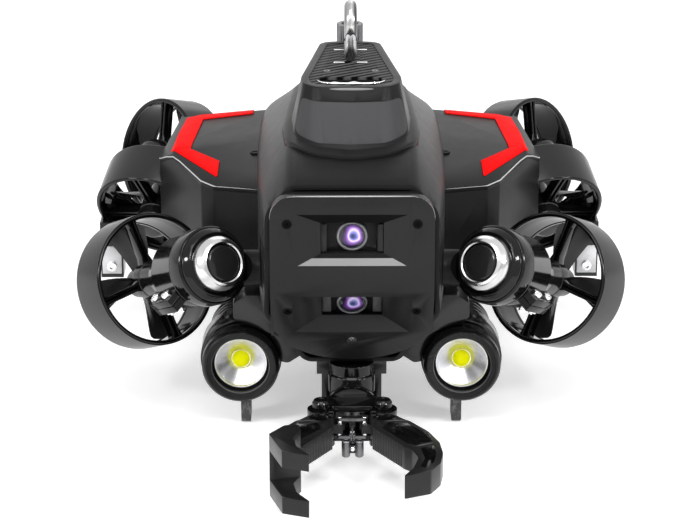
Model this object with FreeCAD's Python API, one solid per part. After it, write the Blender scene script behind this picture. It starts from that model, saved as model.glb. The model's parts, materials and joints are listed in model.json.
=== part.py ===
import FreeCAD, Part

import os
from math import atan2, cos, degrees, pi, radians, sin, tan

# Underwater inspection vehicle: six ducted thrusters round a winged hull, twin cameras in a bent
# nose plate, headlamps, floodlamps, a lifting tower and a two-jaw gripper.
# Millimetres. The nose faces -Y, +X is the vehicle's right as seen from the front, +Z is up.
# Pieces are modelled about the thruster plane (y = 0) with z = 0 on the ground, and at the end
# the whole vehicle is moved so that the origin is at the bottom centre of its box.

V = FreeCAD.Vector

# ---------------------------------------------------------------- driving dimensions

# thrusters
ring_radius = 38.2
ring_wall = 2.8
ring_length = 27.0
ring_pocket_gap = 0.2
hub_radius = 11.0
hub_back = 10.0
spoke_count = 4
spoke_width = 4.6
spoke_depth = 7.0
spoke_groove = 1.6
spoke_start = 2.0
propeller_gap = 1.2
propeller_hub_radius = 8.5
propeller_hub_length = 10.0
tip_gap = 0.9
blade_count = 4
blade_thickness = 1.3
blade_root_chord = 8.0
blade_tip_chord = 22.0
blade_root_pitch = 52.0
blade_tip_pitch = 24.0
spoke_turn = 10.0
shaft_radius = 2.0
shaft_gap = 0.05
motor_radius = 8.0
motor_length = 14.0
motor_seat_gap = 0.1
# centre of the front rim (right side), toe angle in plan and pitch of the axis, front to back
thrusters = {
    "front": (V(111.2, -120, 81.4), 36.0, -23.0),
    "mid": (V(119.5, 0, 78.5), -17.4, 34.8),
    "rear": (V(126, 119, 81), -48.5, -15.0),
}
hub_nose = 12.0

# hull: stations of the central pod
# y, half top, half side, half belly, top, shoulder, waist, belly
pod_stations = [
    (-206, 33, 45.5, 22, 158.7, 146, 84, 54),
    (-172, 34, 50, 26, 169.5, 148, 84, 50),
    (-120, 33, 53, 30, 176, 148, 84, 46),
    (-60, 30, 54, 32, 176, 146, 84, 44),
    (0, 26, 54, 32, 168, 142, 84, 44),
    (60, 20, 51, 30, 153, 133, 86, 47),
    (110, 18, 43, 26, 139, 122, 88, 55),
    (146, 13, 29, 19, 124, 112, 92, 70),
    (156, 8, 17, 10, 116, 107, 96, 82),
]
pod_corner_radii = (9.0, 13.0, 12.0, 9.0)
hull_wall = 3.0
parting_height = 126.0
wing_floor = 87.0
wing_root_height = 138.0
wing_root_x = 50.0
wing_dihedral = -0.092
wing_front_crease = -30.0
wing_rear_crease = 32.0
wing_front_fall = 0.135
wing_rear_fall = 0.30
wing_edge_x = 104.0
wing_edge_fall = 0.85
cap_lip = 3.0
# right half of the wing plan, front to back
wing_plan = [(50, -100), (79, -89), (87, -80), (115, -20), (104, 34), (82, 66), (50, 84)]
wing_corner_radius = 6.0
stripe_height = 0.6
stripe_plan = [(59, 35), (59.5, 25), (90, 22), (95, -36), (77, -57), (77.5, -79), (107, -33),
               (100.5, 28), (92, 32.5)]

# nose plate
plate_front = -205.0
plate_thickness = 8.0
plate_half_width = 44.3
plate_top = 158.7
plate_crease = 104.8
plate_bottom = 56.0
plate_corner = 13.0
plate_tilt = 26.0
plate_screw_x = 35.0
plate_screw_rise = 38.0
plate_screw_drop = 16.0
plate_screw_radius = 1.9
upper_funnel = (30.0, 14.6, 17.0, 8.9, 4.0)
upper_funnel_height = 133.6
lower_funnel = (31.5, 13.9, 16.6, 7.7, 7.0)
lower_funnel_drop = 18.5
camera_gap = 0.3
window_thickness = 1.5
camera_depth = 24.0
lens_radius = 8.0
lens_length = 4.5
sensor_radius = 2.6

# tower
tower_base_radii = (30, 20, 20, 40, 10, 20)
tower_top_radii = (30, 10, 10, 30, 8, 20)
tower_root = 165.0
finger_depth = 12.0
tower_base = [(0, -173), (22, -168), (34, -152), (36, -120), (30, -46), (0, -40)]
tower_top = [(0, -148.5), (20, -146.5), (26.5, -139), (28, -128), (17, -50), (0, -47)]
tower_height = 202.5
tower_wall = 3.0
tower_flange = 2.6
tower_flange_rise = 2.4
top_plate_margin = 4.2
top_plate_thickness = 2.0
finger_slot = (18.5, 7.0, -132.5)
tower_panel_depth = 1.0
tower_screw_y = -112.0
tower_screw_x = 13.5

# lifting shackle: two tines that join into a loop in the vehicle's centre plane
shackle_rod = 3.6
shackle_y = -80.0
shackle_rise = 32.5
shackle_loop_radius = 9.0

# tether connector
tether_y = -27.0
tether_radius = 7.85
tether_top = 208.0
tether_bore = 5.0
tether_bore_depth = 14.0
tether_nut_height = 17.0
tether_ribs = 24

# headlamps, coaxial with the front thrusters; distances run back from the lens face
lamp_lead = 77.0
bezel_length = 8.0
lens_face_radius = 10.5
bezel_radius = 15.75
barrel_flange_length = 4.0
barrel_radius = 15.7
clamp_band_length = 12.0
clamp_band_radius = 22.0
clamp_shell_length = 22.0
clamp_shell_radius = 20.5
clamp_ear = (9.0, 4.0)
ear_gap = 0.6
clamp_turn = 35.0
nacelle_clearance = 25.0
arm_radius = 10.5
rear_arm_sweep = 32.0
rear_arm_rise = 14.0

# floodlamps
flood_x = 63.0
flood_front = -150.0
flood_height = 38.8
flood_radius = 22.0
flood_bezel_length = 13.0
flood_dish_depth = 7.0
flood_dish_radius = 16.2
reflector_radius = 15.4
reflector_depth = 4.5
chip_radius = 5.5
flood_body_radius = 19.5
flood_body_length = 52.0
flood_fin_count = 5
bracket_band = 3.6
bracket_length = 20.0
bracket_start = 14.0

# landing fins
fin_width = 5.6
fin_inset = 2.5
fin_lead = 4.0
fin_length = 26.0
rear_fin_y = 70.0
rear_fin_x = 24.0

# gripper
jaw_pivot_x = 17.0
jaw_pivot_y = -205.0
jaw_height = 26.0
jaw_thickness = 13.0
jaw_travel = 22.0
fork_height = 35.6
fork_gap = 17.0
pin_radius = 3.0
pin_gap = 0.05
knuckle_radius = 7.6
head_plate = 3.6
head_gap = 0.4
tail_thickness = 5.0
crosshead_pin_x = 7.0
crosshead_pin_radius = 1.5
slot_gap = 0.15
rod_radius = 1.7
rod_front = 238.0
rod_back = 176.0
yoke_x = 3.6
yoke_radius = 2.4
serration_pitch = 1.6
bracket_saddle = (19.6, -166.0, -112.0)
gripper_tube_radius = 13.4
gripper_tube_back = -96.0
gripper_motor_radius = 9.0
hook_outline = [(31, -213), (41, -228), (46.5, -243), (47.8, -257), (46, -270), (40.5, -280.5),
                (25.9, -287), (31.5, -276), (34.5, -263), (31.5, -252.5), (27.8, -249), (10.8, -222)]

# inner pieces
rib_half_width = 24.0
rib_top = 62.0
rib_places = (-150.0, -70.0, -30.0, 60.0)
bay_size = (46.0, 92.0, 58.0)
battery_size = (50.0, 106.0, 44.0)

# small brackets under the outer sides of the mid rings
side_bracket = (14.0, 16.0, 26.0)
side_bracket_at = (148.0, 8.0, 36.0)
side_plate_thickness = 1.6

# ---------------------------------------------------------------- general helpers

X, Y, Z = V(1, 0, 0), V(0, 1, 0), V(0, 0, 1)
ORIGIN = V(0, 0, 0)
BIG = 400.0


def mirrored(shape):
    """The same shape on the other side of the vehicle's centre plane."""
    return shape.mirror(ORIGIN, X)


def frame_along(origin, axis, up=Z):
    """Placement with local Z along axis and local X as near to up as it can be."""
    z = V(axis).normalize()
    x = (up - z * up.dot(z)).normalize()
    y = z.cross(x)
    return FreeCAD.Matrix(x.x, y.x, z.x, origin.x, x.y, y.y, z.y, origin.y,
                          x.z, y.z, z.z, origin.z, 0, 0, 0, 1)


def placed(shape, matrix):
    return shape.transformed(matrix, True)


def rounded_wire(points, radii):
    """Closed wire through flat points, each corner rounded by its own radius."""
    if not isinstance(radii, (list, tuple)):
        radii = [radii] * len(points)
    edges, starts, ends = [], [], []
    count = len(points)
    for i in range(count):
        corner, before, after = points[i], points[i - 1], points[(i + 1) % count]
        to_before = (before - corner).normalize()
        to_after = (after - corner).normalize()
        half = to_before.getAngle(to_after) / 2
        reach = radii[i] / tan(half)
        starts.append(corner + to_before * reach)
        ends.append(corner + to_after * reach)
        bisector = (to_before + to_after).normalize()
        middle = corner + bisector * (radii[i] / sin(half) - radii[i])
        if radii[i] > 0:
            edges.append(Part.Arc(starts[i], middle, ends[i]).toShape())
        else:
            edges.append(None)
    loop = []
    for i in range(count):
        if edges[i] is not None:
            loop.append(edges[i])
        following = starts[(i + 1) % count]
        if ends[i].distanceToPoint(following) > 1e-6:
            loop.append(Part.LineSegment(ends[i], following).toShape())
    return Part.Wire(loop)


def prism(points, radii, direction):
    return Part.Face(rounded_wire(points, radii)).extrude(direction)


def turned(profile):
    """Solid of revolution about local Z from a closed profile of (radius, station)."""
    points = [V(r, 0, s) for r, s in profile]
    return Part.Face(Part.makePolygon(points + points[:1])).revolve(ORIGIN, Z, 360)


def tube(outer, inner, start, end):
    return turned([(inner, start), (outer, start), (outer, end), (inner, end)])


def rod(radius, start, end):
    return Part.makeCylinder(radius, end - start, V(0, 0, start))


def keep_below(shape, point, normal):
    """What lies behind the plane through point with the given outward normal."""
    tool = Part.makeBox(2 * BIG, 2 * BIG, BIG, V(-BIG, -BIG, 0))
    side = Y if abs(V(normal).normalize().dot(Y)) < 0.9 else X
    return shape.cut(placed(tool, frame_along(point, normal, side)))


def mirrored_plan(half):
    """Closed plan outline from its right half, front to back."""
    right = list(half)
    left = [(-x, y) for x, y in reversed(half) if x > 0]
    return right + left


# ---------------------------------------------------------------- hull


def pod(inset):
    """Central pod, lofted through its stations and drawn in by inset."""
    wires = []
    last = pod_stations[-1][0]
    for y, top, side, belly, z_top, z_shoulder, z_waist, z_belly in pod_stations:
        y = min(y, last - inset)
        high, low = z_top - inset, z_belly + inset
        right = [(top - inset / 2, high), (side - inset, z_shoulder - inset / 2),
                 (side - inset, z_waist + inset / 4), (belly - inset / 2, low)]
        left = [(-x, z) for x, z in reversed(right)]
        corners = [V(x, y, z) for x, z in right + left]
        radii = [max(r - inset, 2.0) for r in pod_corner_radii]
        wires.append(rounded_wire(corners, radii + radii[::-1]))
    return Part.makeLoft(wires, True, False)


def wing_slab(drop, inset):
    """Both wings as one slab, with its top planes lowered by drop and its plan drawn in."""
    plan = mirrored_plan(wing_plan)
    points = [V(x, y, wing_floor) for x, y in plan]
    outline = rounded_wire(points, wing_corner_radius)
    if inset:
        outline = outline.makeOffset2D(-inset)
    slab = Part.Face(outline).extrude(V(0, 0, wing_root_height + 20 - wing_floor))
    for side in (1, -1):
        root = V(side * wing_root_x, 0, wing_root_height - drop)
        rise = V(-side * wing_dihedral, 0, 1)
        front = V(side * wing_root_x, wing_front_crease, root.z)
        rear = V(side * wing_root_x, wing_rear_crease, root.z)
        edge_z = root.z + wing_dihedral * (wing_edge_x - wing_root_x)
        edge = V(side * wing_edge_x, 0, edge_z)
        half_box = Part.makeBox(BIG, 2 * BIG, BIG, V(0 if side > 0 else -BIG, -BIG, 0))
        half = slab.common(half_box)
        half = keep_below(half, root, rise)
        half = keep_below(half, front, rise + V(0, -wing_front_fall, 0))
        half = keep_below(half, rear, rise + V(0, wing_rear_fall, 0))
        half = keep_below(half, edge, rise + V(side * wing_edge_fall, 0, 0))
        whole = half if side > 0 else whole.fuse(half)
    return whole.removeSplitter()


def thruster_axis(toe, pitch):
    toe, pitch = radians(toe), radians(pitch)
    return V(sin(toe) * cos(pitch), cos(toe) * cos(pitch), sin(pitch))


def thruster_frame(place):
    centre, toe, pitch = thrusters[place]
    return frame_along(centre, thruster_axis(toe, pitch))


def ring_envelopes(margin):
    """Solid discs that the six rings fill, grown by margin."""
    discs = []
    for place in thrusters:
        disc = rod(ring_radius + margin, -margin, ring_length + margin)
        disc = placed(disc, thruster_frame(place))
        discs += [disc, mirrored(disc)]
    return discs


def nacelle_envelopes():
    """Wide clearance along the headlamps and front hubs, which arches the skirts over them."""
    core = placed(rod(nacelle_clearance, -lamp_lead - 10, 0), thruster_frame("front"))
    return [core, mirrored(core)]


def clamp_envelopes():
    """What the headlamp clamps fill, so that the arms end on them."""
    shell = clamp_end() - clamp_shell_length - lamp_lead + ring_pocket_gap
    wide, narrow = clamp_band_radius + ring_pocket_gap, clamp_shell_radius + ring_pocket_gap
    core = turned([(0, -lamp_lead - 10), (wide, -lamp_lead - 10), (wide, shell), (narrow, shell),
                   (narrow, 0), (0, 0)])
    core = placed(core, thruster_frame("front"))
    return [core, mirrored(core)]


def behind_plate(shape):
    """Cut back to the rear faces of the bent nose plate."""
    tilt = radians(plate_tilt)
    back = plate_front + plate_thickness
    crease = V(0, back, plate_crease + plate_thickness * tan(tilt / 2))
    shape = keep_below(shape, crease, -Y)
    return keep_below(shape, crease, V(0, -cos(tilt), -sin(tilt)))


def nacelle_arms():
    """Rounded arms from the pod's sides to the headlamp clamps and hubs, and to the rear rings."""
    front = thruster_frame("front")
    clamp = front.multVec(V(0, 0, -lamp_lead + bezel_length + barrel_flange_length
                            + clamp_band_length + clamp_shell_length / 2))
    root = V(30, clamp.y, clamp.z + 2)
    arm = placed(rod(arm_radius, 0, (clamp - root).Length), frame_along(root, clamp - root, Y))
    rear = thruster_frame("rear")
    ring = rear.multVec(V(0, 0, ring_length / 2))
    start = V(20, ring.y - rear_arm_sweep, ring.z + rear_arm_rise)
    reach = (ring - start).Length - ring_radius / 2
    back_arm = placed(rod(arm_radius, 0, reach), frame_along(start, ring - start))
    return [arm, mirrored(arm), back_arm, mirrored(back_arm)]


def inner_ribs():
    """Cross ribs in the belly that carry the electronics bay and the battery."""
    ribs = []
    for y in rib_places:
        ribs.append(Part.makeBox(2 * rib_half_width, hull_wall, rib_top, V(-rib_half_width, y, 0)))
    return Part.makeCompound(ribs)


def hull_shells():
    """Upper shell (cap over pod and wings) and lower shell (belly, skirts and arms)."""
    body, cavity = pod(0), pod(hull_wall)
    above = Part.makeBox(2 * BIG, 2 * BIG, BIG, V(-BIG, -BIG, parting_height))
    below = Part.makeBox(2 * BIG, 2 * BIG, BIG, V(-BIG, -BIG, parting_height - BIG))
    wings, under_cap = wing_slab(0, 0), wing_slab(cap_lip, 0)
    under_skirt = wing_slab(cap_lip + hull_wall, hull_wall)
    clearances = ring_envelopes(ring_pocket_gap) + nacelle_envelopes()

    cap = wings.cut(under_cap)
    upper = body.common(above).fuse(cap).cut(cavity)
    upper = behind_plate(upper).cut(Part.makeCompound(ring_envelopes(ring_pocket_gap)))

    skirt = under_cap.cut(under_skirt)
    lower = body.common(below).fuse(skirt)
    lower = lower.cut(Part.makeCompound(clearances))
    lower = lower.fuse(nacelle_arms())
    inside = cavity.cut(Part.makeCompound(ring_envelopes(hull_wall) + [inner_ribs()]))
    lower = lower.cut(inside).cut(Part.makeCompound(ring_envelopes(ring_pocket_gap)))
    lower = lower.cut(Part.makeCompound(clamp_envelopes()))
    lower = behind_plate(lower).cut(upper)
    return upper, lower


parts = {}

# ---------------------------------------------------------------- thrusters


def spoke(angle):
    """Double-ribbed spoke from the hub to the ring, at an angle about local Z."""
    inner, outer = hub_radius - 2, ring_radius - ring_wall / 2
    bar = Part.makeBox(outer - inner, spoke_width, spoke_depth, V(inner, -spoke_width / 2, spoke_start))
    groove = Part.makeBox(ring_radius - hub_radius - ring_wall - 2, spoke_groove, spoke_depth / 2,
                          V(hub_radius + 1, -spoke_groove / 2, spoke_start))
    bar = bar.cut(groove)
    bar.rotate(ORIGIN, Z, angle)
    return bar


def duct(place):
    """Ring with rounded lips, spokes and hub in one moulding."""
    lip = ring_wall / 2
    middle = ring_radius - lip
    outer_side = [V(ring_radius, 0, lip), V(ring_radius, 0, ring_length - lip)]
    inner_side = [V(ring_radius - ring_wall, 0, ring_length - lip), V(ring_radius - ring_wall, 0, lip)]
    section = Part.Wire([
        Part.LineSegment(*outer_side).toShape(),
        Part.Arc(outer_side[1], V(middle, 0, ring_length), inner_side[0]).toShape(),
        Part.LineSegment(*inner_side).toShape(),
        Part.Arc(inner_side[1], V(middle, 0, 0), outer_side[0]).toShape()])
    ring = Part.Face(section).revolve(ORIGIN, Z, 360)
    spokes = [spoke(spoke_turn + 360.0 * i / spoke_count) for i in range(spoke_count)]
    if place == "front":
        front = -lamp_lead + clamp_end()
        hub = turned([(0, front), (hub_radius + 2, front), (hub_radius + 2, front + 14),
                      (hub_radius, front + 20), (hub_radius, hub_back), (0, hub_back)])
    else:
        hub = turned([(0, -hub_nose), (hub_radius * 0.55, -hub_nose), (hub_radius * 0.86, -hub_nose * 0.72),
                      (hub_radius, -hub_nose * 0.35), (hub_radius, hub_back), (0, hub_back)])
    hub = hub.cut(rod(motor_radius + motor_seat_gap, hub_back - motor_length, hub_back))
    return ring.fuse(spokes + [hub]).removeSplitter()


def motor():
    return tube(motor_radius, shaft_radius + shaft_gap, hub_back - motor_length, hub_back - 0.4)


def blade(angle):
    """Twisted blade that broadens from the hub to its tip."""
    tip = ring_radius - ring_wall - tip_gap
    start = propeller_hub_radius - 2
    middle = hub_back + propeller_gap + propeller_hub_length / 2
    wires = []
    for share in (0.0, 0.35, 0.7, 1.0):
        r = start + (tip + 1 - start) * share
        chord = blade_root_chord + (blade_tip_chord - blade_root_chord) * share
        pitch = radians(blade_root_pitch + (blade_tip_pitch - blade_root_pitch) * share)

        def at(t, a):
            return V(r, t * cos(pitch) - a * sin(pitch), middle + t * sin(pitch) + a * cos(pitch))

        lead, trail = at(-chord / 2, 0), at(chord / 2, 0)
        face, back = at(0, blade_thickness), at(0, -blade_thickness * 0.2)
        wires.append(Part.Wire([Part.Arc(lead, face, trail).toShape(),
                                Part.Arc(trail, back, lead).toShape()]))
    shape = Part.makeLoft(wires, True, False)
    shape = shape.common(rod(tip, 0, ring_length))
    shape.rotate(ORIGIN, Z, angle)
    return shape


def propeller():
    """Hub with spinner and shaft, and its blades."""
    start = hub_back + propeller_gap
    end = start + propeller_hub_length
    r = propeller_hub_radius
    hub = turned([(0, start), (r, start), (r, end), (r * 0.8, end + 2), (r * 0.4, end + 3.4), (0, end + 3.6)])
    shaft = rod(shaft_radius, hub_back - motor_length + 2, start + 1)
    blades = [blade(360.0 * i / blade_count) for i in range(blade_count)]
    return hub.fuse([shaft] + blades)


def thruster_pieces():
    """Ducts, propellers and motors on both sides."""
    motors = []
    turning = propeller()
    for place in thrusters:
        matrix = thruster_frame(place)
        for side, flip in (("right", False), ("left", True)):
            pieces = [placed(p, matrix) for p in (duct(place), turning, motor())]
            if flip:
                pieces = [mirrored(p) for p in pieces]
            name = place + "_" + side
            parts["duct_" + name] = pieces[0]
            parts["propeller_" + name] = pieces[1]
            motors.append(pieces[2])
    parts["thruster_motors"] = Part.makeCompound(motors)


# ---------------------------------------------------------------- nose and cameras


def nose_frames():
    """Frames on the upper and lower faces of the plate: local Z runs into the hull, X is up."""
    tilt = radians(plate_tilt)
    upper = frame_along(V(0, plate_front, upper_funnel_height), Y, Z)
    down = V(0, sin(tilt), -cos(tilt))
    centre = V(0, plate_front, plate_crease) + down * lower_funnel_drop
    lower = frame_along(centre, V(0, cos(tilt), sin(tilt)), -down)
    return upper, lower


def bent_slab(depth):
    """Slab between the plate's bent front face and the same face moved in by depth."""
    tilt = radians(plate_tilt)
    run = V(0, sin(tilt), -cos(tilt)) * 120
    corner = V(-BIG / 2, plate_front, plate_crease)
    inner = V(-BIG / 2, plate_front + depth, plate_crease + depth * tan(tilt / 2))
    top = V(0, 0, 120)
    return Part.Face(Part.makePolygon([corner + top, corner, corner + run,
                                       inner + run, inner, inner + top, corner + top])).extrude(X * BIG)


def plate_outline(y):
    """Rounded top corners and a half ellipse below the crease."""
    side, low = plate_half_width, plate_crease - 22
    drop = low - plate_bottom
    top_y = plate_top - plate_corner
    points = []
    steps = 12
    for i in range(steps + 1):
        a = pi * i / steps
        points.append(V(side * cos(a), y, low - drop * sin(a)))
    curve = Part.BSplineCurve()
    curve.interpolate(points, InitialTangent=-Z, FinalTangent=Z)
    k = plate_corner * (1 - cos(pi / 4))
    left = -side
    edges = [
        curve.toShape(),
        Part.LineSegment(V(left, y, low), V(left, y, top_y)).toShape(),
        Part.Arc(V(left, y, top_y), V(left + k, y, plate_top - k), V(left + plate_corner, y, plate_top)).toShape(),
        Part.LineSegment(V(left + plate_corner, y, plate_top), V(side - plate_corner, y, plate_top)).toShape(),
        Part.Arc(V(side - plate_corner, y, plate_top), V(side - k, y, plate_top - k), V(side, y, top_y)).toShape(),
        Part.LineSegment(V(side, y, top_y), V(side, y, low)).toShape()]
    return Part.Wire(edges)


def funnel(frame, sizes):
    """Window recess: tapers from its outer to its inner rectangle, then runs straight through."""
    half_w, half_h, in_w, in_h, depth = sizes
    grow = 1.0 / depth

    def ring(w, h, z):
        return Part.makePolygon([V(h, -w, z), V(h, w, z), V(-h, w, z), V(-h, -w, z), V(h, -w, z)])

    over_w, over_h = half_w + (half_w - in_w) * grow, half_h + (half_h - in_h) * grow
    taper = Part.makeLoft([ring(over_w, over_h, -1), ring(in_w, in_h, depth)], True, True)
    straight = Part.makeBox(2 * in_h, 2 * in_w, 20, V(-in_h, -in_w, depth - 0.5))
    return placed(taper.fuse(straight), frame)


def plate_screws(frame_pair):
    """Centre and inward axis of each of the plate's four screws."""
    upper, lower = frame_pair
    places = []
    for x in (-plate_screw_x, plate_screw_x):
        places.append((V(x, plate_front, plate_crease + plate_screw_rise), upper))
        tilt = radians(plate_tilt)
        drop = V(0, sin(tilt), -cos(tilt)) * plate_screw_drop
        places.append((V(x, plate_front, plate_crease) + drop, lower))
    return places


def nose_pieces():
    upper, lower = nose_frames()
    blank = Part.Face(plate_outline(plate_front - 5)).extrude(Y * 90)
    plate = blank.common(bent_slab(plate_thickness))
    plate = plate.cut(funnel(upper, upper_funnel)).cut(funnel(lower, lower_funnel))
    screws = []
    for centre, frame in plate_screws((upper, lower)):
        at = FreeCAD.Matrix(frame)
        at.A14, at.A24, at.A34 = centre.x, centre.y, centre.z
        plate = plate.cut(placed(rod(plate_screw_radius, -1, plate_thickness + 1), at))
        screws.append(placed(rod(plate_screw_radius - 0.1, 2.5, plate_thickness), at))
    sensor = placed(rod(sensor_radius, -0.6, plate_thickness), sensor_frame(lower))
    plate = plate.cut(placed(rod(sensor_radius, -1, plate_thickness + 1), sensor_frame(lower)))
    parts["nose_faceplate"] = plate
    parts["depth_sensor"] = sensor
    windows = []
    for name, frame, sizes in (("main_camera", upper, upper_funnel), ("lower_camera", lower, lower_funnel)):
        pane_start = plate_thickness - window_thickness - 1.6 if sizes is upper_funnel else plate_thickness
        half_w, half_h = sizes[2] - 0.1, sizes[3] - 0.1
        if sizes is lower_funnel:
            half_w, half_h = half_w + 1.5, half_h + 1.5
        pane = Part.makeBox(2 * half_h, 2 * half_w, window_thickness, V(-half_h, -half_w, pane_start))
        windows.append(placed(pane, frame))
        back = plate_thickness if sizes is upper_funnel else plate_thickness + window_thickness
        half_h, half_w = half_h + 2, half_w + 2
        case = Part.makeBox(2 * half_h, 2 * half_w, camera_depth, V(-half_h, -half_w, back))
        if sizes is upper_funnel:
            lens = turned([(0, back - 1.2), (lens_radius * 0.55, back - 0.6), (lens_radius * 0.75, back - 0.2),
                           (lens_radius * 0.8, back - 1.3), (lens_radius, back - 1.3), (lens_radius, back + 2),
                           (0, back + 2)])
            case = case.fuse(lens)
        else:
            bowl = turned([(lens_radius * 0.78, back - 1), (lens_radius * 0.78, back + 1), (0, back + 2.4),
                           (0, back - 1)])
            case = case.cut(bowl)
        parts[name] = placed(case, frame)
    parts["camera_windows"] = Part.makeCompound(windows)
    return screws


def sensor_frame(lower):
    at = FreeCAD.Matrix(lower)
    down = V(-lower.A11, -lower.A21, -lower.A31) * (lower_funnel[1] + 6.5)
    at.A14, at.A24, at.A34 = lower.A14 + down.x, lower.A24 + down.y, lower.A34 + down.z
    return at


# ---------------------------------------------------------------- tower, shackle and tether


def tower_wire(plan, radii, z, grow=0.0):
    points = [V(x, y, z) for x, y in mirrored_plan(plan)]
    whole = list(radii) + [r for r, (x, y) in zip(reversed(radii), reversed(plan)) if x > 0]
    wire = rounded_wire(points, whole)
    return wire.makeOffset2D(grow) if grow else wire


def tower_loft():
    base = tower_wire(tower_base, tower_base_radii, tower_root)
    top = tower_wire(tower_top, tower_top_radii, tower_height)
    return Part.makeLoft([base, top], True, True)


def tower_pieces():
    tower = tower_loft()
    foot = Part.Face(tower_wire(tower_base, tower_base_radii, tower_root - 10, tower_flange)).extrude(Z * 40)
    foot = foot.common(pod(-tower_flange_rise))
    panel_face = [V(-27.5, -200, 195.5), V(27.5, -200, 195.5), V(31.5, -200, 177), V(18, -200, 175.2),
                  V(-18, -200, 175.2), V(-31.5, -200, 177)]
    window = prism(panel_face, [3, 3, 3, 8, 8, 3], Y * 60)
    sunk = tower.copy()
    sunk.translate(Y * (tower_panel_depth + 0.3))
    proud = tower.copy()
    proud.translate(Y * 0.3)
    panel = proud.cut(sunk).common(window).common(tower)
    recess = tower.cut(sunk).common(window)

    plate_bottom_z = tower_height - top_plate_thickness
    plate_wire = tower_wire(tower_top, tower_top_radii, plate_bottom_z, -top_plate_margin)
    bed = Part.Face(plate_wire).extrude(Z * 20)
    plate = Part.Face(plate_wire).extrude(Z * (top_plate_thickness - 0.3))
    half_x, half_y, slot_y = finger_slot
    corners = [V(sx * half_x, slot_y + sy * half_y, plate_bottom_z - finger_depth)
               for sx, sy in ((-1, -1), (1, -1), (1, 1), (-1, 1))]
    slot = prism(corners, half_y - 0.01, Z * 40)
    screw_holes = [Part.makeCylinder(1.6, 12, V(x, tower_screw_y, plate_bottom_z - 8))
                   for x in (-tower_screw_x, tower_screw_x)]
    holes = Part.makeCompound([slot] + screw_holes)
    tower = tower.cut(recess).fuse(foot).cut(pod(0)).cut(bed).cut(holes)
    parts["handle_tower"] = tower
    parts["tower_front_panel"] = panel.cut(pod(-tower_flange_rise))
    parts["carbon_top_plate"] = plate.cut(holes)


def shackle():
    """Lifting eye: a round loop in the centre plane on a forked foot."""
    seat = tower_height - 0.3
    centre = V(0, shackle_y, seat + shackle_rise - shackle_loop_radius - shackle_rod)
    loop = Part.makeTorus(shackle_loop_radius, shackle_rod, centre, X)
    neck_bottom = seat + 7.0
    neck = Part.makeBox(2 * shackle_rod, 10, centre.z - shackle_loop_radius - neck_bottom + 1,
                        V(-shackle_rod, shackle_y - 5, neck_bottom))
    tines = [Part.makeBox(3.0, 10, neck_bottom + 1 - seat, V(x, shackle_y - 5, seat)) for x in (-4.6, 1.6)]
    feet = [Part.makeBox(6.0, 14, 2.0, V(x, shackle_y - 7, seat)) for x in (-7.6, 1.6)]
    return loop.fuse([neck] + tines + feet).removeSplitter()


def tether_connector():
    """Upright socket behind the tower with a ribbed nut and a blind bore for the tether's plug."""
    points = []
    for i in range(tether_ribs):
        for step, r in ((0.0, tether_radius), (0.5, tether_radius - 0.7)):
            a = 2 * pi * (i + step) / tether_ribs
            points.append(V(r * cos(a), tether_y + r * sin(a), tether_top - tether_nut_height))
    nut = Part.Face(Part.makePolygon(points + points[:1])).extrude(Z * tether_nut_height)
    stem = Part.makeCylinder(tether_radius - 1.6, 40, V(0, tether_y, tether_top - tether_nut_height - 39))
    flange = Part.makeCylinder(tether_radius + 2.2, 14, V(0, tether_y, 166))
    flange = flange.common(pod(-3.0))
    bore = Part.makeCylinder(tether_bore, tether_bore_depth + 1, V(0, tether_y, tether_top - tether_bore_depth))
    return nut.fuse([stem, flange]).cut(pod(0)).cut(bore).removeSplitter()


# ---------------------------------------------------------------- headlamps


def clamp_end():
    """Distance from the lens face to the back of the clamp."""
    return bezel_length + barrel_flange_length + clamp_band_length + clamp_shell_length


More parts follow.
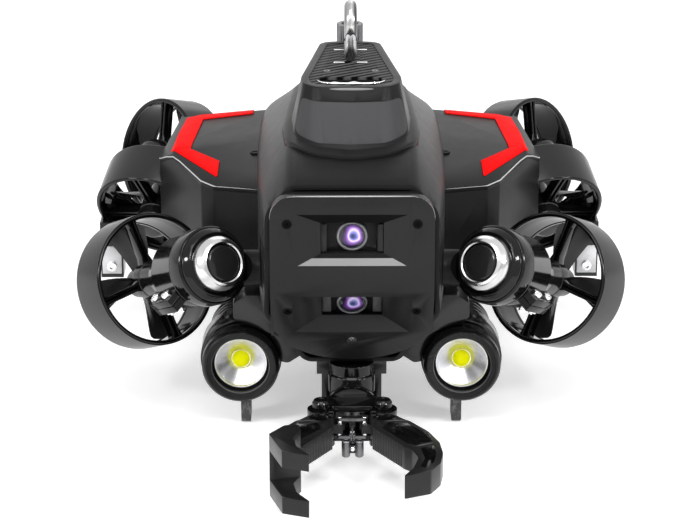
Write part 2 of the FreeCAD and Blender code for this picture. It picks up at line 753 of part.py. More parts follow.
def headlamp_pieces():
    """Lens, bezel, barrel and two-part clamp in the front thruster's frame."""
    face = -lamp_lead
    seat = face + 3.0
    flange = face + bezel_length
    band = flange + barrel_flange_length
    shell = band + clamp_band_length
    end = face + clamp_end()
    lens = turned([(0, face), (lens_face_radius - 0.8, face + 0.2), (lens_face_radius, face + 1.0),
                   (lens_face_radius, seat), (0, seat)])
    bezel = turned([(lens_face_radius + 0.1, face + 0.4), (lens_face_radius + 0.8, face),
                    (bezel_radius - 1.4, face + bezel_length * 0.55), (bezel_radius, flange),
                    (lens_face_radius + 0.1, flange)])
    barrel = turned([(0, seat), (lens_face_radius, seat), (lens_face_radius, flange), (bezel_radius + 2, flange),
                     (clamp_shell_radius, band - 1.0), (clamp_shell_radius, band), (barrel_radius, band),
                     (barrel_radius, end), (0, end)])
    inner = barrel_radius + 0.1
    ring = turned([(inner, band), (clamp_band_radius - 1, band), (clamp_band_radius, band + 1),
                   (clamp_band_radius, shell - 1), (clamp_band_radius - 1, shell), (inner, shell)])
    sleeve = tube(clamp_shell_radius, inner, shell, end)
    reach, thick = clamp_ear
    ears = Part.makeBox(2 * thick + ear_gap, reach + 2, clamp_shell_length - 2,
                        V(-thick - ear_gap / 2, clamp_shell_radius - 2, shell + 1))
    sleeve = sleeve.fuse(ears)
    split = Part.makeBox(ear_gap, BIG, BIG, V(-ear_gap / 2, -BIG / 2, -BIG / 2))
    bolt_places = [V(-thick - ear_gap / 2 - 4, clamp_shell_radius + reach / 2, s)
                   for s in (shell + 5.5, end - 5.5)]
    bolts = []
    for at in bolt_places:
        shank = Part.makeCylinder(1.5, 2 * thick + ear_gap + 7, at, X)
        sleeve = sleeve.cut(Part.makeCylinder(1.6, 2 * thick + ear_gap + 10, at, X))
        head_at = V(thick + ear_gap / 2, at.y, at.z)
        head = Part.makeCylinder(2.8, 2.6, head_at, X)
        nut = Part.makeCylinder(2.8, 2.2, V(-thick - ear_gap / 2 - 2.2, at.y, at.z), X)
        bolts.append(shank.fuse([head, nut]))
    halves = sleeve.cut(split).Solids
    upper = [h for h in halves if h.CenterOfMass.x > 0]
    lower = [h for h in halves if h.CenterOfMass.x < 0]
    clamp = Part.makeCompound([ring.fuse(upper[0]), lower[0]])
    turn = FreeCAD.Matrix()
    turn.rotateZ(radians(clamp_turn))
    return lens, bezel, barrel, placed(clamp, turn), [placed(b, turn) for b in bolts]


def add_headlamps():
    matrix = thruster_frame("front")
    lens, bezel, barrel, clamp, bolts = headlamp_pieces()
    bolts = [placed(b, matrix) for b in bolts]
    for name, piece in (("headlamp_lens", lens), ("headlamp_bezel", bezel),
                        ("headlamp_barrel", barrel), ("headlamp_clamp", clamp)):
        piece = placed(piece, matrix)
        parts[name + "_right"] = piece
        parts[name + "_left"] = mirrored(piece)
    parts["clamp_bolts"] = Part.makeCompound(bolts + [mirrored(b) for b in bolts])


# ---------------------------------------------------------------- floodlamps


def flood_frame():
    return frame_along(V(flood_x, flood_front, flood_height), Y, Z)


def flood_pieces():
    """Body, dished bezel, window, reflector and emitter; stations run back from the bezel's face."""
    ledge = flood_dish_depth
    seat = ledge + 1.0
    dish_back = seat + reflector_depth
    bezel = turned([(flood_dish_radius + 4, 0), (flood_radius - 0.8, 0), (flood_radius, 0.8),
                    (flood_radius, flood_bezel_length - 1), (flood_radius - 1, flood_bezel_length),
                    (flood_body_radius + 0.1, flood_bezel_length), (flood_body_radius + 0.1, seat + 1),
                    (flood_dish_radius, seat + 1), (flood_dish_radius, ledge)])
    window = rod(flood_dish_radius - 0.1, ledge + 0.1, seat)
    reflector = turned([(chip_radius + 0.6, dish_back), (reflector_radius - 0.8, seat + 0.3),
                        (reflector_radius - 0.5, seat + 0.05), (reflector_radius, seat + 0.05),
                        (reflector_radius, dish_back + 1), (0, dish_back + 1), (0, dish_back)])
    dome = Part.makeSphere(chip_radius * 1.35, V(0, 0, dish_back + chip_radius * 0.9))
    chip = dome.common(rod(chip_radius, dish_back - 10, dish_back))
    body = rod(flood_body_radius, seat + 1, flood_bezel_length + flood_body_length)
    body = body.cut(rod(reflector_radius + 0.05, seat, dish_back + 1))
    tail = flood_bezel_length + flood_body_length
    groove_start = bracket_start + bracket_length + 4
    pitch = (tail - groove_start - 3) / flood_fin_count
    for i in range(flood_fin_count):
        start = groove_start + i * pitch
        body = body.cut(tube(flood_body_radius + 1, flood_body_radius - 2.5, start, start + pitch / 2))
    return body, bezel, window, reflector, chip


def flood_bracket(body):
    """Band round the lamp with a block that seats on the sloping side of the hull."""
    matrix = flood_frame()
    inner = flood_body_radius + 0.1
    band = placed(tube(inner + bracket_band, inner, bracket_start, bracket_start + bracket_length), matrix)
    y = flood_front + bracket_start - 6
    outline = [V(67, y, 66), V(67, y, 74), V(60, y, 79), V(40, y, 79), V(24, y, 46), V(36, y, 38), V(44, y, 40)]
    block = prism(outline, [2, 3, 4, 2, 2, 4, 1], Y * (bracket_length + 12))
    block = block.cut(placed(rod(inner + bracket_band - 0.5, -BIG, BIG), matrix))
    return band.fuse(block).cut(body)


def add_floodlamps():
    body = pod(0)
    matrix = flood_frame()
    case, bezel, window, reflector, chip = flood_pieces()
    for name, piece in (("flood_body", case), ("flood_bezel", bezel), ("flood_reflector", reflector)):
        piece = placed(piece, matrix)
        parts[name + "_right"] = piece
        parts[name + "_left"] = mirrored(piece)
    for name, piece in (("flood_windows", window), ("flood_emitters", chip)):
        piece = placed(piece, matrix)
        parts[name] = Part.makeCompound([piece, mirrored(piece)])
    bracket = flood_bracket(body)
    parts["flood_bracket_right"] = bracket
    parts["flood_bracket_left"] = mirrored(bracket)


def landing_fins():
    """Front fins under the lamp bands and rear fins under the belly."""
    band = placed(rod(flood_body_radius + 0.1 + bracket_band, 0, 200), flood_frame())
    y = flood_front + bracket_start - fin_lead
    x = flood_x - fin_inset - fin_width / 2
    front = prism([V(x, y - 3, flood_height - 12), V(x, y + bracket_length + 3, flood_height - 12),
                   V(x, y + bracket_length - 2, 0), V(x, y + 1, 0)], [1, 1, 3, 3], X * fin_width)
    front = front.cut(band)
    x = rear_fin_x - fin_width / 2
    rear = prism([V(x, rear_fin_y - 20, 70), V(x, rear_fin_y + 20, 70),
                  V(x, rear_fin_y + fin_length / 2, 0), V(x, rear_fin_y - fin_length / 2, 0)],
                 [1, 1, 4, 4], X * fin_width)
    rear = rear.cut(pod(0))
    rear = sorted(rear.Solids, key=lambda s: s.CenterOfMass.z)[0]
    return Part.makeCompound([front, mirrored(front), rear, mirrored(rear)])


# ---------------------------------------------------------------- gripper


def crosshead_travel():
    """Half of the push rod's stroke: the pins swing the slotted tails by half the jaws' travel."""
    return (jaw_pivot_x - crosshead_pin_x) * tan(radians(jaw_travel / 2))


def level(points, low, high):
    """Prism with flat ends at two heights, from plan points and their corner radii."""
    corners = [V(x, y, low) for x, y, r in points]
    return prism(corners, [r for x, y, r in points], V(0, 0, high - low))


def disc(x, y, radius, low, high):
    return Part.makeCylinder(radius, high - low, V(x, y, low))


def jaw_tail():
    """Slotted tail from the pivot to the crosshead's pin, right side."""
    pin_y = jaw_pivot_y - crosshead_travel()
    pivot = V(jaw_pivot_x, jaw_pivot_y, jaw_height)
    run = V(crosshead_pin_x, pin_y, jaw_height) - pivot
    length = run.Length + crosshead_pin_radius + 1.0
    low = -tail_thickness / 2
    bar = Part.makeBox(length, 2 * crosshead_pin_radius + 4, tail_thickness,
                       V(0, -crosshead_pin_radius - 2, low))
    slot_half = crosshead_pin_radius + slot_gap
    slot = Part.makeBox(length, 2 * slot_half, 2 * tail_thickness, V(run.Length - 3, -slot_half, 2 * low))
    tail = bar.cut(slot)
    tail.rotate(ORIGIN, Z, degrees(atan2(run.y, run.x)))
    tail.translate(pivot)
    return tail


def serrations():
    """Grooves across the gripping face, right side."""
    start, end = V(*hook_outline[-1], 0), V(*hook_outline[-2], 0)
    along = (end - start)
    count = int(along.Length / serration_pitch)
    along.normalize()
    inward = V(along.y, -along.x, 0)
    grooves = []
    for i in range(1, count):
        at = start + along * (i * serration_pitch) + Z * (jaw_height - 20)
        half = along * (serration_pitch * 0.3)
        tip = at + inward * -serration_pitch * 0.45
        out = inward * 0.2
        corners = [at - half + out, tip, at + half + out, at - half + out]
        grooves.append(Part.Face(Part.makePolygon(corners)).extrude(Z * 40))
    return Part.makeCompound(grooves)


def jaw_body(fork):
    """Jaw on the right side: a single hook, or two prongs that it passes between."""
    low, high = jaw_height - jaw_thickness / 2, jaw_height + jaw_thickness / 2
    knuckle = disc(jaw_pivot_x, jaw_pivot_y, knuckle_radius, low, high)
    root = [(jaw_pivot_x + knuckle_radius - 1.5, jaw_pivot_y - 3, 0.0)]
    inner = [(jaw_pivot_x - 4.5, jaw_pivot_y - 5.5, 0.0)]
    radii = [6, 14, 12, 10, 8, 3, 0.6, 6, 6, 3, 1, 1]
    hook = [(x, y, r) for (x, y), r in zip(hook_outline, radii)]
    if not fork:
        body = level(root + hook + inner, low, high)
    else:
        stub = hook[:2] + [(43.6, -238, 8.0), (44.4, -250, 2.0), (32.0, -252.5, 1.0)] + hook[-2:]
        body = level(root + stub + inner, low, high)
        prong = [(29, -244, 2), (36.5, -245.5, 3), (44.4, -256.8, 1.0), (37.2, -279.7, 1.0), (22.2, -285.6, 0.6),
                 (29.8, -273, 5), (31.5, -262, 5), (27.5, -252, 2)]
        bottom, top = jaw_height - fork_height / 2, jaw_height + fork_height / 2
        prongs = level(prong, bottom, top)
        gap = [(20, -251.8, 0.5), (27.2, -253.2, 1), (41.4, -257.2, 1), (60, -260, 1), (60, -300, 1),
               (0, -300, 1), (0, -251.8, 0.5)]
        middle = level(gap, jaw_height - fork_gap / 2, jaw_height + fork_gap / 2)
        body = body.fuse(prongs.cut(middle))
    body = body.fuse([knuckle, jaw_tail_web()]).cut(serrations())
    body = body.cut(disc(0, jaw_pivot_y, jaw_pivot_x - knuckle_radius - 0.1, low - 1, high + 1))
    body = body.fuse(jaw_tail())
    return body.cut(disc(jaw_pivot_x, jaw_pivot_y, pin_radius + pin_gap, low - 20, high + 20)).removeSplitter()


def jaw_tail_web():
    """Thickening of the knuckle towards the hook."""
    low, high = jaw_height - jaw_thickness / 2, jaw_height + jaw_thickness / 2
    points = [(jaw_pivot_x + 5, jaw_pivot_y + 2, 1.0), (jaw_pivot_x + 13, jaw_pivot_y - 8, 1.0),
              (jaw_pivot_x + 4, jaw_pivot_y - 20, 1.0), (jaw_pivot_x - 4, jaw_pivot_y - 14, 1.0)]
    return level(points, low, high)


def push_rod():
    """Rod with the crosshead that swings both jaws, and its front yoke."""
    y = jaw_pivot_y - crosshead_travel()
    stem = Part.makeCylinder(rod_radius, rod_front - rod_back, V(0, -rod_back, jaw_height), -Y)
    pieces = []
    for side in (1, -1):
        low = jaw_height + side * (tail_thickness / 2 + 0.3) - (2.0 if side < 0 else 0)
        half = crosshead_pin_x + crosshead_pin_radius
        plate = [(-half, y - 2.2, 1), (half, y - 2.2, 1), (half, y + 2.2, 1), (-half, y + 2.2, 1)]
        pieces.append(level(plate, low, low + 2.0))
        pieces.append(disc(side * crosshead_pin_x, y, crosshead_pin_radius,
                           jaw_height - tail_thickness / 2 - 1, jaw_height + tail_thickness / 2 + 1))
        pieces.append(disc(side * yoke_x, -rod_front + yoke_radius, yoke_radius, jaw_height - 5, jaw_height + 5))
    pieces.append(Part.makeBox(3.6, 4.4, tail_thickness + 1, V(-1.8, y - 2.2, jaw_height - tail_thickness / 2 - 0.5)))
    pieces.append(Part.makeBox(2 * yoke_x, 2 * yoke_radius, 5, V(-yoke_x, -rod_front, jaw_height - 2.5)))
    return stem.fuse(pieces).removeSplitter()


def gripper_housing():
    """Sealed tube with a flared head whose two plates carry the jaw pivots."""
    r = gripper_tube_radius
    back, front = -gripper_tube_back, 184.0
    shell = turned([(0, back), (r - 3, back), (r, back + 3), (r, front - 8), (r + 2.2, front), (r + 2.2, front + 6),
                    (0, front + 6)])
    shell = shell.cut(rod(gripper_motor_radius + 0.1, back + 3, front - 4))
    shell = placed(shell, frame_along(V(0, 0, jaw_height), -Y, Z))
    reach = jaw_pivot_x + knuckle_radius
    wall_y = -(front + 6)
    plan = [(-r, wall_y + 4, 1), (-reach + 3, wall_y - 9, 3), (-reach + 3, wall_y - 12, 1), (reach - 3, wall_y - 12, 1),
            (reach - 3, wall_y - 9, 3), (r, wall_y + 4, 1)]
    gap = jaw_thickness / 2 + head_gap
    plates = []
    for low in (jaw_height + gap, jaw_height - gap - head_plate):
        flat = level(plan, low, low + head_plate)
        lugs = [disc(x, jaw_pivot_y, knuckle_radius, low, low + head_plate) for x in (-jaw_pivot_x, jaw_pivot_x)]
        front_cut = Part.makeBox(2 * (jaw_pivot_x - 4), 8, head_plate + 2,
                                 V(-jaw_pivot_x + 4, jaw_pivot_y - 12, low - 1))
        plates.append(flat.fuse(lugs).cut(front_cut))
    wall = Part.makeBox(2 * r - 4, 6, 2 * (gap + head_plate), V(-r + 2, wall_y, jaw_height - gap - head_plate))
    head = shell.fuse(plates + [wall])
    for x in (-jaw_pivot_x, jaw_pivot_x):
        head = head.cut(disc(x, jaw_pivot_y, pin_radius, jaw_height - 40, jaw_height + 40))
    bore = Part.makeCylinder(rod_radius + pin_gap, 40, V(0, -front + 10, jaw_height), -Y)
    return head.cut(bore).removeSplitter()


def gripper_pieces():
    """Housing, bracket, motor, pins, rod and jaws."""
    gap = jaw_thickness / 2 + head_gap + head_plate
    parts["gripper_housing"] = gripper_housing()
    pins = []
    for x in (-jaw_pivot_x, jaw_pivot_x):
        shank = disc(x, jaw_pivot_y, pin_radius, jaw_height - gap - 1.5, jaw_height + gap)
        cap = disc(x, jaw_pivot_y, 4.4, jaw_height + gap, jaw_height + gap + 3.0)
        cap = cap.makeFillet(1.2, [e for e in cap.Edges if e.BoundBox.ZMin > jaw_height + gap + 2.9])
        clip = disc(x, jaw_pivot_y, 4.0, jaw_height - gap - 1.5, jaw_height - gap)
        pins.append(shank.fuse([cap, clip]).removeSplitter())
    parts["gripper_pins"] = Part.makeCompound(pins)
    tube_frame = frame_along(V(0, 0, jaw_height), -Y, Z)
    parts["gripper_motor"] = placed(rod(gripper_motor_radius, 128, 180), tube_frame).cut(
        Part.makeCylinder(rod_radius + pin_gap, 60, V(0, -168, jaw_height), -Y))
    parts["push_rod"] = push_rod()
    right = jaw_body(False)
    parts["jaw_right"] = right
    parts["jaw_left"] = mirrored(jaw_body(True))

    half, start, end = bracket_saddle
    saddle = Part.makeBox(2 * half, end - start, 30, V(-half, start, jaw_height + gripper_tube_radius + 1.5))
    cheek = Part.makeBox(2 * gripper_tube_radius + 7, end - start - 14, 26,
                         V(-gripper_tube_radius - 3.5, start + 4, jaw_height))
    ring = tube(gripper_tube_radius + 3.5, gripper_tube_radius + 0.1, -end + 10, -start - 4)
    ring = placed(ring, tube_frame)
    bore = placed(rod(gripper_tube_radius + 0.1, 0, 300), tube_frame)
    bracket = saddle.fuse([cheek, ring]).cut(bore).cut(pod(0))
    parts["gripper_bracket"] = sorted(bracket.Solids, key=lambda s: s.CenterOfMass.z)[0]


# ---------------------------------------------------------------- trim, inner pieces and fasteners


def accent_stripes():
    """Raised chevrons that follow the wings' top planes."""
    skin = wing_slab(-stripe_height, 0).cut(wing_slab(0, 0))
    face = prism([V(x, y, 60) for x, y in stripe_plan], 0.6, Z * 120)
    stripe = skin.common(face)
    return Part.makeCompound([stripe, mirrored(stripe)])


def inner_pieces():
    width, length, height = bay_size
    bay = Part.makeBox(width, length, height, V(-width / 2, rib_places[0] + 2, rib_top))
    parts["electronics_bay"] = bay.makeFillet(3, bay.Edges)
    width, length, height = battery_size
    pack = Part.makeBox(width, length, height, V(-width / 2, rib_places[2] - 4, rib_top))
    parts["battery_pack"] = pack.makeFillet(5, pack.Edges)


def side_brackets():
    """Blocks under the outer sides of the mid rings, each with a light plate and a screw."""
    wide, deep, tall = side_bracket
    x, y, z = side_bracket_at
    block = Part.makeBox(wide, deep, tall + 10, V(x - wide / 2, y, z))
    ring = placed(rod(ring_radius + 0.1, -1, ring_length + 1), thruster_frame("mid"))
    block = sorted(block.cut(ring).Solids, key=lambda s: s.CenterOfMass.z)[0]
    plate = Part.makeBox(wide - 2, side_plate_thickness, tall - 8, V(x - wide / 2 + 1, y - side_plate_thickness, z + 3))
    screw = Part.makeCylinder(3.2, 1.6, V(x, y - side_plate_thickness, z + 8), -Y)
    parts["side_brackets"] = Part.makeCompound([block, mirrored(block)])
    parts["side_plates"] = Part.makeCompound([plate, mirrored(plate)])
    return [screw, mirrored(screw)]


def stand_on_ground():
    """Move every piece so that the origin is at the bottom centre of the whole box."""
    boxes = [shape.optimalBoundingBox(False, False) for shape in parts.values()]
    middle = (min(b.YMin for b in boxes) + max(b.YMax for b in boxes)) / 2
    low = min(b.ZMin for b in boxes)
    shift = V(0, -middle, -low)
    for shape in parts.values():
        shape.translate(shift)
    return shift


def build():
    """Make every piece and return the shift from the modelling frame to the final one."""
    upper, lower = hull_shells()
    parts["hull_upper_shell"] = upper
    parts["hull_lower_shell"] = lower
    screws = nose_pieces()
    thruster_pieces()
    tower_pieces()
    parts["lifting_shackle"] = shackle()
    parts["tether_connector"] = tether_connector()
    add_headlamps()
    add_floodlamps()
    parts["landing_fins"] = landing_fins()
    gripper_pieces()
    parts["accent_stripes"] = accent_stripes()
    inner_pieces()
    screws += side_brackets()
    parts["screws"] = Part.makeCompound(screws)
    return stand_on_ground()


if __name__ == "__main__":
    shift = build()
    os.makedirs("parts", exist_ok=True)
    for name, shape in parts.items():
        shape.exportStep("parts/%s.step" % name)
        print(name, shape.isValid(), len(shape.Solids), round(shape.Volume))
    print(len(parts), "nodes, shift", shift)
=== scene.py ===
import json
from math import atan2, copysign, cos, pi, radians, sin, sqrt, tan

import bmesh
import bpy
from mathutils import Matrix, Vector

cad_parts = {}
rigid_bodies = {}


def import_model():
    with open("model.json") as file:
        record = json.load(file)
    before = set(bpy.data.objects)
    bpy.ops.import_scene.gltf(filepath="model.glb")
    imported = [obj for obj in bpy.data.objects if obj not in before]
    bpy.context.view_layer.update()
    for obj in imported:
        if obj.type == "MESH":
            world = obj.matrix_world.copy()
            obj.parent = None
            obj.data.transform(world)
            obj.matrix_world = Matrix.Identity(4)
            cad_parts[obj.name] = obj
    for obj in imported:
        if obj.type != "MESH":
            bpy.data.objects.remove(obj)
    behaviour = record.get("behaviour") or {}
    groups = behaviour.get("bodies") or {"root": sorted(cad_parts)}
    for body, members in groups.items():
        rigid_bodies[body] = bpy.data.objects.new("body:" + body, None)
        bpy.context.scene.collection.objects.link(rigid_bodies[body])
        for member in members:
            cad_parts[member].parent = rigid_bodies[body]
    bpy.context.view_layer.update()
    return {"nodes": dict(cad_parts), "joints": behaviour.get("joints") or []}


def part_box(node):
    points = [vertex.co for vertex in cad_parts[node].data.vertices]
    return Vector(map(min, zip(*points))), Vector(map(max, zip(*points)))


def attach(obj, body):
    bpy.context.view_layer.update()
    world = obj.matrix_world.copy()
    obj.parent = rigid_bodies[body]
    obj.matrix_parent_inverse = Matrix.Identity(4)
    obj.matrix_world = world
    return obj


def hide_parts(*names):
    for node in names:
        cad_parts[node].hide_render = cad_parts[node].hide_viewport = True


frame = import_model()
nodes = frame["nodes"]
joints = {j["name"]: j for j in frame["joints"]}
BODY = frame["joints"][0]["parent"]
MM = 0.001
SIDES = (("right", 1), ("left", -1))
MIRROR = Matrix.Scale(-1, 4, Vector((1, 0, 0)))
# The vehicle's own middle: the middle thrusters' rings stand in the plane y = MID_Y.
MID_Y = joints["mid_right_spin"]["pos_m"][1]
# Placement for meshes drawn in millimetres from the floor below that middle.
UPRIGHT = Matrix.Translation(Vector((0, MID_Y, 0))) @ Matrix.Scale(MM, 4)


# ---------------- mesh helpers, in millimetres

def link(obj):
    bpy.context.scene.collection.objects.link(obj)
    return obj


def adjust(thing, **settings):
    for key, value in settings.items():
        setattr(thing, key, value)
    return thing


def turns(count):
    return [2 * pi * i / count for i in range(count)]


def piece(name, bm, material, slot, matrix=UPRIGHT, flip=False, body=BODY, angle=32, local=False):
    """Object from a bmesh in local millimetres, put in place by matrix and mirrored if flip.

    With local, the object keeps the place as its own, so that its material's coordinates are local."""
    place = (MIRROR if flip else Matrix.Identity(4)) @ matrix
    origin = Matrix.Identity(4)
    if local:
        x, z = (place.to_3x3().col[i].normalized() for i in (0, 2))
        origin = Matrix((x, z.cross(x), z)).transposed().to_4x4()
        origin.translation = place.translation
        place = origin.inverted() @ place
    bmesh.ops.transform(bm, matrix=place, verts=bm.verts)
    bmesh.ops.recalc_face_normals(bm, faces=bm.faces)
    mesh = bpy.data.meshes.new(name)
    bm.to_mesh(mesh)
    bm.free()
    mesh.polygons.foreach_set("use_smooth", [True] * len(mesh.polygons))
    mesh.set_sharp_from_angle(angle=radians(angle))
    mesh.materials.append(MATERIALS[material])
    obj = link(bpy.data.objects.new(name, mesh))
    obj.matrix_world = origin
    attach(obj, body)
    return obj


def rounded(points, closed, steps=5):
    """Path through (x, y, radius) points with each corner turned into an arc."""
    nearly_straight = radians(89)
    longest = 0.48  # share of a side that one corner's arc may take
    path = []
    count = len(points)
    for i, (x, y, r) in enumerate(points):
        here = Vector((x, y))
        if r <= 0 or (not closed and i in (0, count - 1)):
            path.append(here)
            continue
        before = Vector(points[i - 1][:2])
        after = Vector(points[(i + 1) % count][:2])
        a, b = (before - here).normalized(), (after - here).normalized()
        half = a.angle(b) / 2
        if half > nearly_straight:
            path.append(here)
            continue
        reach = min(r / tan(half), longest * min((before - here).length, (after - here).length))
        radius = reach * tan(half)
        centre = here + (a + b).normalized() * (radius / sin(half))
        start, end = here + a * reach - centre, here + b * reach - centre
        turn = atan2(start.x * end.y - start.y * end.x, start.dot(end))
        for k in range(steps + 1):
            t = turn * k / steps
            path.append(centre + Vector((start.x * cos(t) - start.y * sin(t),
                                         start.x * sin(t) + start.y * cos(t))))
    return path


def circle(bm, r, z, segments):
    """Ring of new vertices about local Z; at no radius it is a single one."""
    if r < 1e-6:
        return [bm.verts.new((0, 0, z))]
    return [bm.verts.new((r * cos(a), r * sin(a), z)) for a in turns(segments)]


def lathe(points, segments=96, steps=5):
    """bmesh turned about local Z from (radius, station, corner radius) points, closed if off the axis."""
    bm = bmesh.new()
    closed = points[0][0] > 0
    rings = [circle(bm, p.x, p.y, segments) for p in rounded(points, closed, steps)]
    pairs = list(zip(rings, rings[1:]))
    if closed:
        pairs.append((rings[-1], rings[0]))
    for low, high in pairs:
        for i in range(segments):
            j = (i + 1) % segments
            if len(low) == 1 and len(high) > 1:
                bm.faces.new((low[0], high[i], high[j]))
            elif len(high) == 1 and len(low) > 1:
                bm.faces.new((low[i], low[j], high[0]))
            elif len(low) > 1:
                bm.faces.new((low[i], low[j], high[j], high[i]))
    return bm


def turned(name, points, *args, segments=96, steps=5, **how):
    """Piece turned from a lathe's points; the rest goes to piece."""
    return piece(name, lathe(points, segments, steps), *args, **how)


def skin(bm, rings, wrap=False):
    """Faces between neighbouring rings of vertices, which close on themselves or end in caps."""
    count = len(rings[0])
    for a, b in zip(rings, rings[1:] + (rings[:1] if wrap else [])):
        for i in range(count):
            j = (i + 1) % count
            bm.faces.new((a[i], a[j], b[j], b[i]))
    if not wrap:
        bm.faces.new(list(reversed(rings[0])))
        bm.faces.new(rings[-1])


def slab(points, low, high, edge=0.3, bm=None, place=Matrix.Identity(4)):
    """bmesh prism from (x, y, corner radius) points with softened edges, in bm if that is given."""
    path = rounded(points, True, steps=4)
    if sum(a.x * b.y - a.y * b.x for a, b in zip(path, path[1:] + path[:1])) < 0:
        path.reverse()
    if bm is None:
        bm = bmesh.new()
    layers = []
    soft = 0.3  # where the edge's chamfer bends, as a share of it
    for z, inset in ((low, edge), (low + edge * soft, edge * soft), (low + edge, 0),
                     (high - edge, 0), (high - edge * soft, edge * soft), (high, edge)):
        ring = []
        for i, p in enumerate(path):
            along = (path[(i + 1) % len(path)] - path[i - 1]).normalized()
            q = p + Vector((-along.y, along.x)) * inset
            ring.append(bm.verts.new(place @ Vector((q.x, q.y, z))))
        layers.append(ring)
    skin(bm, layers)
    return bm


def block(x, y, z, corner, edge):
    """bmesh box between the (start, end) pairs of each axis, with rounded upright edges."""
    (x0, x1), (y0, y1) = x, y
    return slab([(x0, y0, corner), (x1, y0, corner), (x1, y1, corner), (x0, y1, corner)], *z, edge=edge)


def socket_screw(radius, height, socket, depth):
    """bmesh of a cap screw head on local Z = 0, with a hexagonal socket in its top."""
    segments = 36
    bm = bmesh.new()

    def hexagon(r, z):
        out = []
        for a in turns(segments):
            from_flat = a % (pi / 3) - pi / 6
            q = r * cos(pi / 6) / cos(from_flat)
            out.append(bm.verts.new((q * cos(a), q * sin(a), z)))
        return out

    lip = min(0.25 * radius, 0.3 * height)
    skin(bm, [circle(bm, radius, 0, segments), circle(bm, radius, height - lip, segments),
              circle(bm, radius - 0.3 * lip, height - 0.3 * lip, segments),
              circle(bm, radius - lip, height, segments), hexagon(socket * 1.08, height),
              hexagon(socket, height - 0.1 * depth), hexagon(socket, height - depth)])
    return bm


def ribbon(name, path, half, material, slot, flat=1.0, up=Vector((0, 0, 1)), body=BODY, flip=False):
    """Thin round or flattened strip along a path of millimetre points, tapered to its ends."""
    bm = bmesh.new()
    rows = []
    around = 12
    last = len(path) - 1
    for j, p in enumerate(path):
        along = (path[min(j + 1, last)] - path[max(j - 1, 0)]).normalized()
        side = along.cross(up).normalized()
        wide = half * (0.12 + 0.88 * sin(pi * j / last) ** 0.5)
        rows.append([bm.verts.new(p + side * wide * cos(a) + up * (wide * flat * sin(a)))
                     for a in turns(around)])
    skin(bm, rows)
    return piece(name, bm, material, slot, body=body, flip=flip, angle=60)


def upright_at(x, y, z=0):
    return UPRIGHT @ Matrix.Translation((x, y, z))


def axes(origin, z, up=Vector((0, 0, 1))):
    """Placement in metres for a bmesh in millimetres: local Z along z, local X nearest to up."""
    z = Vector(z).normalized()
    x = (up - z * up.dot(z)).normalized()
    m = Matrix((x, z.cross(x), z)).transposed().to_4x4()
    m.translation = origin
    return m @ Matrix.Scale(MM, 4)


def thruster_place(place):
    """Frame of the right-hand thruster ring at a place: local Z runs back through the ring."""
    joint = joints[place + "_right_spin"]
    return axes(Vector(joint["pos_m"]), Vector(joint["axis"]))


# ---------------- materials

# Spans of a noise texture that hold nearly all, or most, of its values.
WIDE, NARROW = (0.3, 0.7), (0.35, 0.65)
# Sockets of a colour Mix node.
MIX_FACTOR, MIX_A, MIX_B, MIX_RESULT = 0, 6, 7, 2
# Width in metres of one band of a wave texture at scale 1.
WAVE_BAND = 0.314


def new_material(name):
    mat = bpy.data.materials.new(name)
    mat.use_nodes = True
    return mat, mat.node_tree, mat.node_tree.nodes["Principled BSDF"]


def fill(node, values):
    """Sets inputs of a node that nothing is wired to."""
    for key, value in values.items():
        node.inputs[key].default_value = value
    return node


def add(tree, kind, values=None, **settings):
    return fill(adjust(tree.nodes.new(kind), **settings), values or {})


def wire(source, target, socket, out=0):
    target.id_data.links.new(source.outputs[out], target.inputs[socket])


def object_coords(tree, scale=(1, 1, 1)):
    mapping = add(tree, "ShaderNodeMapping", {"Scale": scale})
    wire(add(tree, "ShaderNodeTexCoord"), mapping, "Vector", "Object")
    return mapping


def noise(coords, scale, detail=3, rough=0.55):
    node = add(coords.id_data, "ShaderNodeTexNoise", {"Scale": scale, "Detail": detail, "Roughness": rough})
    wire(coords, node, "Vector")
    return node


def spread(source, span, to):
    """Node that stretches a span of values to another one."""
    node = add(source.id_data, "ShaderNodeMapRange",
               {"From Min": span[0], "From Max": span[1], "To Min": to[0], "To Max": to[1]})
    wire(source, node, "Value")
    return node


def mix_colors(factor, a, b, tree=None, blend="MIX"):
    """Mix node of two colours; a and b may be nodes or values, and so may factor if tree is given."""
    node = add(tree or factor.id_data, "ShaderNodeMix", data_type="RGBA", blend_type=blend)
    for socket, value in ((MIX_FACTOR, factor), (MIX_A, a), (MIX_B, b)):
        if hasattr(value, "outputs"):
            wire(value, node, socket, MIX_RESULT if value.bl_idname == node.bl_idname else 0)
        else:
            fill(node, {socket: value if socket == MIX_FACTOR else (*value, 1)})
    return node


def ramp(source, stops, out=0):
    """Colour ramp with (position, grey or colour) stops, fed by a node's output."""
    node = add(source.id_data, "ShaderNodeValToRGB")
    elements = node.color_ramp.elements
    while len(elements) < len(stops):
        elements.new(0.5)
    for element, (at, value) in zip(elements, stops):
        element.position = at
        element.color = (*value, 1) if isinstance(value, tuple) else (value, value, value, 1)
    wire(source, node, "Fac", out)
    return node


def total_of(a, b, a_out=0):
    node = add(a.id_data, "ShaderNodeMath", operation="ADD")
    wire(a, node, 0, a_out)
    wire(b, node, 1)
    return node


def roughen(bsdf, height, strength, distance, out=0):
    """Fine relief on the surface from a node's output."""
    bump = add(bsdf.id_data, "ShaderNodeBump", {"Strength": strength, "Distance": distance})
    wire(height, bump, "Height", out)
    wire(bump, bsdf, "Normal")


